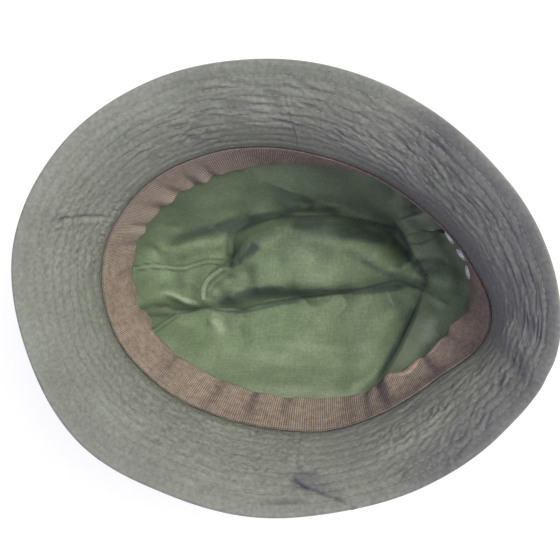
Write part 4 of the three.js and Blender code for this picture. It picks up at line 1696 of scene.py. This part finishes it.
    def build(self) -> dict[str, bpy.types.Object]:
        """Make the four sheets.

        Returns:
            Each sheet by its name.
        """
        form = self.form
        made = {}
        lining_depths, lining_rows = (0.0, form.lining), (self.rows, self.back_rows)
        shell_depths, shell_rows = (form.wall - self.shell, form.wall), (self.shell_back_rows, self.shell_rows)
        layers = (
            ("lining", lining_depths, CROWN_CREASES, self.columns, lining_rows, self.lining_tucks),
            ("crown", shell_depths, SHELL_CREASES, self.shell_columns, shell_rows, self.shell_tucks),
        )
        for layer, depths, creases, columns, rows, tucks in layers:
            ends = self.side_ends(columns)
            faces = [self.side_face(ends, depth, creases, count) for depth, count in zip(depths, rows)]
            side = f"{layer}_side_cloth"
            made[side] = wrapped_grid(side, self.two_sided(*faces, self.arc * FULL_TURN))
            seam = self.seam(columns)[:, :2]
            run = unit(np.roll(seam, -1, 0) - np.roll(seam, 1, 0))
            edge = seam + self.overlap * np.stack([run[:, 1], -run[:, 0]], -1)
            faces = [self.tip_face(edge, *face) for face in zip(depths, (creases, creases), rows, tucks)]
            tip = f"{layer}_tip_cloth"
            made[tip] = wrapped_grid(tip, self.two_sided(*faces, 0))
        return made

    def two_sided(self, inside: Layout, outside: Layout, turn: float) -> Layout:
        """Join the layouts of a sheet's two faces into one round it, whose pattern is a turn long."""
        points, lay, marks = (np.concatenate([a, b[:, ::-1]], 1) for a, b in zip(inside, outside))
        lay = np.concatenate([lay, lay[:1] + [turn, 0]], 0)
        return Layout(points, np.concatenate([lay, lay[:, :1]], 1), marks)

    def seam_line(self, offset: float, depth: float) -> tuple[Array, Array]:
        """Follow the tip's seam on the side's cloth.

        Args:
            offset: The distance from the seam.
            depth: The depth of the cloth's face.

        Returns:
            Points along it, and the directions out of the hat there.
        """
        *rows, walked = self.side_rows(self.side_ends(2400), 120)
        u, t = ([np.interp(w[-1] - offset, w, row) for w, row in zip(walked, part)] for part in rows)
        u, t = np.array(u), np.array(t)
        rise = self.softness(self.form.bag(u, t)) + self.seam_roll * 0.7
        return self.form.crown(u, t, depth, CROWN_CREASES, rise), self.form.out_of(u, t)


# ---- sweatband
class RibbonFold(NamedTuple):
    """A place where the ribbon's lower edge stands off the wall: its angle, half width, lift and shade."""

    angle: float
    spread: float
    lift: float
    tone: float = 0.0


RIBBON_FOLDS = tuple(RibbonFold(*row) for row in (
    (168, 3, 0.9), (163, 1.6, -0.7), (157, 2.4, 2.4), (153.5, 1.3, -1.4), (148, 3.4, 1.2), (143, 1.6, -1),
    (138, 3, 3.2), (133.5, 1.4, -1.6), (129, 2.2, 1.6), (125.5, 1.2, -1.5), (122, 2.2, 3.2),
    (118.5, 1.2, -1.5), (115, 2, 1.2), (108, 4, 0.8), (177, 2.2, -0.8), (-21, 3, 1), (-26, 2, -0.6),
    (-33, 5, 1.2), (-40.5, 1.4, -1.1), (-46, 4, 1.4), (-54, 5, 0.6), (-61.2, 1.8, -1.4),
    (-65, 1.2, 0.8), (-68, 1.3, -1.2), (-91, 3, 1.4), (-94.5, 1.6, -1.1), (-68, 3, 1),
    (-74, 2.4, 0, 0.3), (-80, 3.5, 0.9), (-101, 2.6, 1.2), (-105.5, 1.6, -0.4, 0.4), (-112, 4, 1),
    (-118, 1.8, 0, 0.35), (-124, 3, 1.1), (-130, 6, 1), (-137, 2, -0.6, 0.2), (204, 5, 1.1),
    (196, 3, 0.5),
    # where the ribbon lies in shade, or catches the light if the last value is below 0
    (-24, 9, 0, 0.4), (-40, 2.6, 0, 0.3), (-61.5, 2.4, 0, 0.55), (-68, 1.5, 0, 0.5),
    (-48, 9, 0, 0.25), (145, 22, 0, -0.8), (115, 12, 0, -0.6),
))


@dataclass
class Sweatband:
    """The ribbed ribbon sewn round the inside of the opening."""

    form: HatForm
    ribs: int = 530
    per_rib: int = 4
    rows: int = 17
    thick: float = 1.0
    stand_off: float = 0.45
    rib_height: float = 0.27
    selvedge: float = 0.25
    width: float = 28.0

    def lift(self, u: Array, t: Array) -> Array:
        """Work out how far the ribbon's folds raise it.

        Args:
            u: Angles round the hat.
            t: Shares of the ribbon's width.

        Returns:
            The rises.
        """
        angle = angle_of(u)
        lift = 0.25 * drift(u / FULL_TURN * 34, t * 0.7, 51, 34)
        for fold in RIBBON_FOLDS:
            away = gap_between(angle, fold.angle)
            lift = lift + fold.lift * np.exp(-((away / fold.spread) ** 2)) * t**1.6
        return np.maximum(lift, -self.stand_off) + self.form.sag(u) * smooth(*BAND_SAG, t)

    def tone(self, u: Array) -> Array:
        """Work out how far the ribbon lies in shade.

        Args:
            u: Angles round the hat.

        Returns:
            The shade, below 0 where it catches the light.
        """
        angle = angle_of(u)
        tone = np.zeros(u.shape)
        for fold in RIBBON_FOLDS:
            tone += fold.tone * np.exp(-((gap_between(angle, fold.angle) / fold.spread) ** 2))
        return tone

    def face(self, u: Array, t: Array, depth: Array, rise: Array = 0) -> Array:
        """Return points of the ribbon at a depth from its seen face, raised by its folds."""
        depth = depth - self.thick - self.stand_off
        return self.form.crown(u, t, depth, CROWN_CREASES, self.lift(u, t) + rise)

    def build(self) -> bpy.types.Object:
        """Make the ribbon's mesh.

        Returns:
            The ribbon.
        """
        columns = self.ribs * self.per_rib
        u = turned(columns)[:, None]
        ribs = np.array([0, 0.72, 1, 0.72])[np.arange(columns) % self.per_rib][:, None] * self.rib_height
        plain = np.linspace(0.1, 0.93, self.rows - 6)
        seen = np.concatenate([[0, 0.02, 0.045], plain, [0.96, 0.985, 1.0]])[None]
        back = np.array([1.0, 0.66, 0.33, 0.0])[None]
        border = smooth(0.955, 0.985, seen)
        lift = self.lift(u, seen) - self.form.sag(u) * smooth(*BAND_SAG, seen)
        selvedge = self.selvedge * np.sin(border * math.pi) * 0.6
        upper = self.face(u, seen, 0 * u, ribs * (1 - border) + selvedge)
        lower = self.face(u, back, self.thick + 0 * u)
        points = np.concatenate([upper, lower], 1)
        shade = np.zeros((columns, points.shape[1], 3))
        face = shade[:, : seen.shape[1]]
        tone = self.tone(u)
        # painted shade between the ribs
        face[..., 0] = 1 - ribs / self.rib_height
        # painted highlights on raised folds, and painted light where the tone is below 0
        face[..., 1] = np.clip(lift, 0, 2) * 0.3 + np.clip(-tone, 0, 1)
        # painted shade along the top edge, under folds pressed back, and in shaded stretches
        face[..., 2] = np.maximum(0.6 * smooth(0.05, 0.0, seen), np.clip(-lift, 0, 1) * 0.9)
        face[..., 2] += np.clip(tone, 0, 0.8)
        wide = self.width
        across = np.concatenate([seen[0] * wide, wide + (1 - back[0]) * wide + 1, [2 * wide + 2]])
        along = np.linspace(0, self.ribs, columns + 1)
        return wrapped_grid("sweatband_ribbon", Layout(points, strip_lay(along, across), shade))

    def stitch_line(self, t: float) -> tuple[Array, Array]:
        """Return points along the ribbon at a share of its width, and the directions off it."""
        u = turned(3000)
        ring = np.full(u.shape, t)
        return self.face(u, ring, 0 * u, self.rib_height), -self.form.out_of(u, ring)


# ---- eyelets
@dataclass
class Eyelets:
    """The vent eyelets: spun metal rings, each with a flange inside and outside."""

    form: HatForm
    nodes: tuple[str, ...] = ("eyelet_1", "eyelet_2", "eyelet_3")
    flange: float = 4.5
    barrel: float = 2.9
    bore: float = 2.3
    metal: float = 0.45
    clear: float = 0.8
    hang: float = 1.3
    sides: int = 40
    tilt: float = 0.1
    hole: float = 3.2

    def frame(self, node: str) -> tuple[Array, Array]:
        """Find where an eyelet goes.

        Args:
            node: The frame's node that it stands for.

        Returns:
            The place on the lining's face and the direction out of the hat.
        """
        low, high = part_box(node)
        middle = np.array((low + high) / 2) / MM - ORIGIN
        u, t = np.meshgrid(np.linspace(-0.6, 0.9, 601), np.linspace(0.9, 3.0, 301), indexing="ij")
        surface = self.form.crown(u, t, self.form.wall / 2, CROWN_CREASES)
        best = np.unravel_index(np.linalg.norm(surface - middle, axis=-1).argmin(), u.shape)
        here = [self.form.crown(u[best], t[best], depth, CROWN_CREASES) for depth in (0.0, self.form.wall)]
        out = here[1] - here[0]
        out = out / np.linalg.norm(out) - [0, 0, self.tilt]
        return here[0], out / np.linalg.norm(out)

    def profile(self) -> list[tuple[float, float]]:
        """Return the radius and depth of the ring's outline, once round."""
        low, high = -self.clear - self.metal, self.form.wall + self.clear + self.metal + self.hang
        bore, flange, m = self.bore, self.flange, self.metal
        return [
            (bore, low + 1.1 * m), (bore + 0.15, low + 0.4 * m), (bore + 0.5, low + 0.05 * m),
            (flange - 0.9, low + 0.05 * m), (flange - 0.35, low + 0.25 * m), (flange, low + 0.8 * m),
            (flange - 0.1, low + m), (self.barrel, low + m), (self.barrel, high - m),
            (flange - 0.4, high - m), (flange - 0.3, high - 0.6 * m), (bore + 0.9, high),
            (bore + 0.3, high - 0.15 * m), (bore, high - 0.9 * m),
        ]

    def spun(self, name: str, middle: Array, out: Array) -> bpy.types.Object:
        """Spin an eyelet round its own middle.

        Args:
            name: The piece's name.
            middle: Its place.
            out: Its direction out of the hat.

        Returns:
            The eyelet.
        """
        side = Vector(out).orthogonal().normalized()
        outline = [np.array(side) * radius + out * depth for radius, depth in self.profile()]
        count = len(outline)
        piece = new_piece(name, np.array(outline) + middle, [(k, (k + 1) % count) for k in range(count)], [])
        edit_all(piece)
        centre = tuple((middle + ORIGIN) * MM)
        bpy.ops.mesh.spin(steps=self.sides, angle=FULL_TURN, center=centre, axis=tuple(out), dupli=False)
        leave_edit()
        close_up(piece)
        return piece

    def pierce(self, piece: bpy.types.Object, frames: Sequence[tuple[Array, Array]]) -> None:
        """Cut the eyelets' holes through a sheet.

        Args:
            piece: The sheet.
            frames: The place and direction of each eyelet.
        """
        for middle, out in frames:
            leave_edit()
            turn = Vector(out).to_track_quat("Z", "Y").to_euler()
            centre = (middle + out * self.form.wall / 2 + ORIGIN) * MM
            bpy.ops.mesh.primitive_cylinder_add(
                vertices=32, radius=self.hole * MM, depth=12 * MM, location=tuple(centre), rotation=turn
            )
            pin = bpy.context.object
            bpy.ops.object.transform_apply(location=True, rotation=True, scale=True)
            cut = piece.modifiers.new("hole", "BOOLEAN")
            cut.operation, cut.solver, cut.object = "DIFFERENCE", "MANIFOLD", pin
            leave_edit()
            bpy.context.view_layer.objects.active = piece
            piece.select_set(True)
            bpy.ops.object.modifier_apply(modifier=cut.name)
            bpy.data.objects.remove(pin)
        piece.data.polygons.foreach_set("use_smooth", np.ones(len(piece.data.polygons), bool))

    def build(self, pierced: Sequence[bpy.types.Object]) -> dict[str, bpy.types.Object]:
        """Make the eyelets and their holes.

        Args:
            pierced: The sheets that they go through.

        Returns:
            Each eyelet by the node that it stands for.
        """
        frames = {node: self.frame(node) for node in self.nodes}
        for piece in pierced:
            self.pierce(piece, list(frames.values()))
        return {node: self.spun(node + "_ring", *place) for node, place in frames.items()}


# ---- room, light and camera
class Lamp(NamedTuple):
    """A lamp far off: where it hangs, how high and how wide it is in degrees, its strength and its colour."""

    name: str
    azimuth: float
    height: float
    strength: float
    softness: float
    colour: Colour

    def hang(self) -> None:
        """Hang the lamp."""
        light = bpy.data.lights.new(self.name, "SUN")
        light.energy, light.angle, light.color = self.strength, math.radians(self.softness), self.colour
        lamp = placed(self.name, light)
        turn, lift = math.radians(self.azimuth), math.radians(self.height)
        towards = Vector((math.cos(turn) * math.cos(lift), math.sin(turn) * math.cos(lift), math.sin(lift)))
        lamp.rotation_euler = towards.to_track_quat("Z", "Y").to_euler()


@dataclass
class Studio:
    """A pale floor, one soft key light, an even fill from all round, and the camera above the hat."""

    lamps: tuple[Lamp, ...] = (
        Lamp("key", 33, 55, 2.67, 36, (0.98, 1, 0.83)),
        Lamp("front", -122, 40, 0.4, 70, (1, 1, 1)),
    )
    lens: float = 84.4
    camera: tuple[float, float, float] = (0.09019, 0.05729, 0.7574)
    target: tuple[float, float, float] = (-0.00464, 0.00253, 0.066)
    fill_colour: Colour = (0.275, 0.255, 0.42)
    floor_tone: float = 0.25
    floor_glow: float = 0.84

    def floor(self) -> None:
        """Lay the floor."""
        leave_edit()
        bpy.ops.mesh.primitive_circle_add(vertices=96, radius=1.6, fill_type="NGON")
        floor = bpy.context.object
        floor.name = "floor"
        material = bpy.data.materials.new("floor_paint")
        material.use_nodes = True
        shader = material.node_tree.nodes["Principled BSDF"]
        shader.inputs["Base Color"].default_value = (self.floor_tone, self.floor_tone, self.floor_tone, 1)
        shader.inputs["Roughness"].default_value = 0.9
        shader.inputs["Emission Color"].default_value = (1, 1, 1, 1)
        shader.inputs["Emission Strength"].default_value = self.floor_glow
        floor.data.materials.append(material)

    def fill(self) -> None:
        """Set the even fill, which is cool, behind a white that only the camera sees."""
        world = bpy.data.worlds.new("studio")
        bpy.context.scene.world = world
        world.use_nodes = True
        graph = Graph(world.node_tree)
        seen = graph.node("LightPath", {}).outputs["Is Camera Ray"]
        colour = graph.mix(seen, (*self.fill_colour, 1), (1, 1, 1, 1))
        light = graph.node("Background", {"Color": colour})
        graph.node("OutputWorld", {"Surface": light.outputs[0]})

    def shoot(self) -> None:
        """Set the camera, level with the floor's long side."""
        camera = placed("camera", bpy.data.cameras.new("camera"))
        camera.data.lens, camera.data.sensor_width = self.lens, 36
        camera.data.clip_start, camera.data.clip_end = 0.01, 20
        camera.location = self.camera
        look = Vector(self.target) - Vector(self.camera)
        right = look.cross(Vector((0, 1, 0))).normalized()
        up = right.cross(look).normalized()
        camera.rotation_mode = "QUATERNION"
        turn = Matrix([right, up, -look.normalized()]).transposed()
        camera.rotation_quaternion = turn.to_quaternion()
        bpy.context.scene.camera = camera

    def build(self) -> None:
        """Set all of it."""
        self.floor()
        self.fill()
        for lamp in self.lamps:
            lamp.hang()
        self.shoot()
        bpy.context.scene.view_settings.view_transform = "Standard"


# ---- the hat
@dataclass
class Hat:
    """The whole hat."""

    form: HatForm
    palette: Palette

    def sew_brim(self) -> None:
        """Make the brim and its stitches."""
        brim = Brim(self.form)
        piece = finished(brim.build(), self.palette.shell, "shell_cloth")
        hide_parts("brim")
        for name, under in (("brim_stitches_upper", False), ("brim_stitches_under", True)):
            thread = Stitching(length=3.2, thick=0.42, high=0.3)
            for line, off in brim.stitch_lines(under):
                thread.follow(line, off, brim.stitch_pitch)
            finished(thread.sewn(name), self.palette.tan_thread)

    def sew_crown(self) -> None:
        """Make the crown's sheets, its eyelets and its stitches."""
        crown = Crown(self.form)
        made = crown.build()
        eyelets = Eyelets(self.form)
        rings = eyelets.build([made["lining_side_cloth"], made["crown_side_cloth"]])
        for node, ring in rings.items():
            finished(ring, self.palette.metal, "eyelet_metal")
            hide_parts(node)
        for name, piece in made.items():
            lining = self.palette.lining, "lining_cloth"
            finished(piece, *(lining if name.startswith("lining") else (self.palette.shell, "shell_cloth")))
            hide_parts(name.removesuffix("_cloth"))
        thread = Stitching(length=2.6, thick=0.42, high=0.3)
        seam, out = crown.seam_line(offset=2.2, depth=self.form.wall)
        thread.follow(seam, out, pitch=3.2)
        outer = finished(thread.sewn("tip_topstitching"), self.palette.tan_thread)
        thread = Stitching(length=2.2, thick=0.36, high=0.25)
        seam, out = crown.seam_line(offset=1.6, depth=0.0)
        thread.follow(seam, -out, pitch=2.8)
        inner = finished(thread.sewn("lining_seam_stitches"), self.palette.green_thread)

    def sew_band(self) -> None:
        """Make the sweatband and the stitches that hold it."""
        band = Sweatband(self.form)
        piece = finished(band.build(), self.palette.ribbon, "ribbon")
        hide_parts("sweatband")
        thread = Stitching(length=1.9, thick=0.42, high=0.3)
        line, off = band.stitch_line(0.055)
        thread.follow(line, off, pitch=2.3)
        stitches = finished(thread.sewn("sweatband_stitches"), self.palette.tan_thread)

    def build(self) -> None:
        """Make all of it."""
        self.sew_crown()
        self.sew_band()
        self.sew_brim()


def main() -> None:
    """Build the scene."""
    logging.basicConfig(level=logging.INFO)
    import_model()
    Studio().build()
    Hat(HatForm(), Palette()).build()


if __name__ == "__main__":
    main()
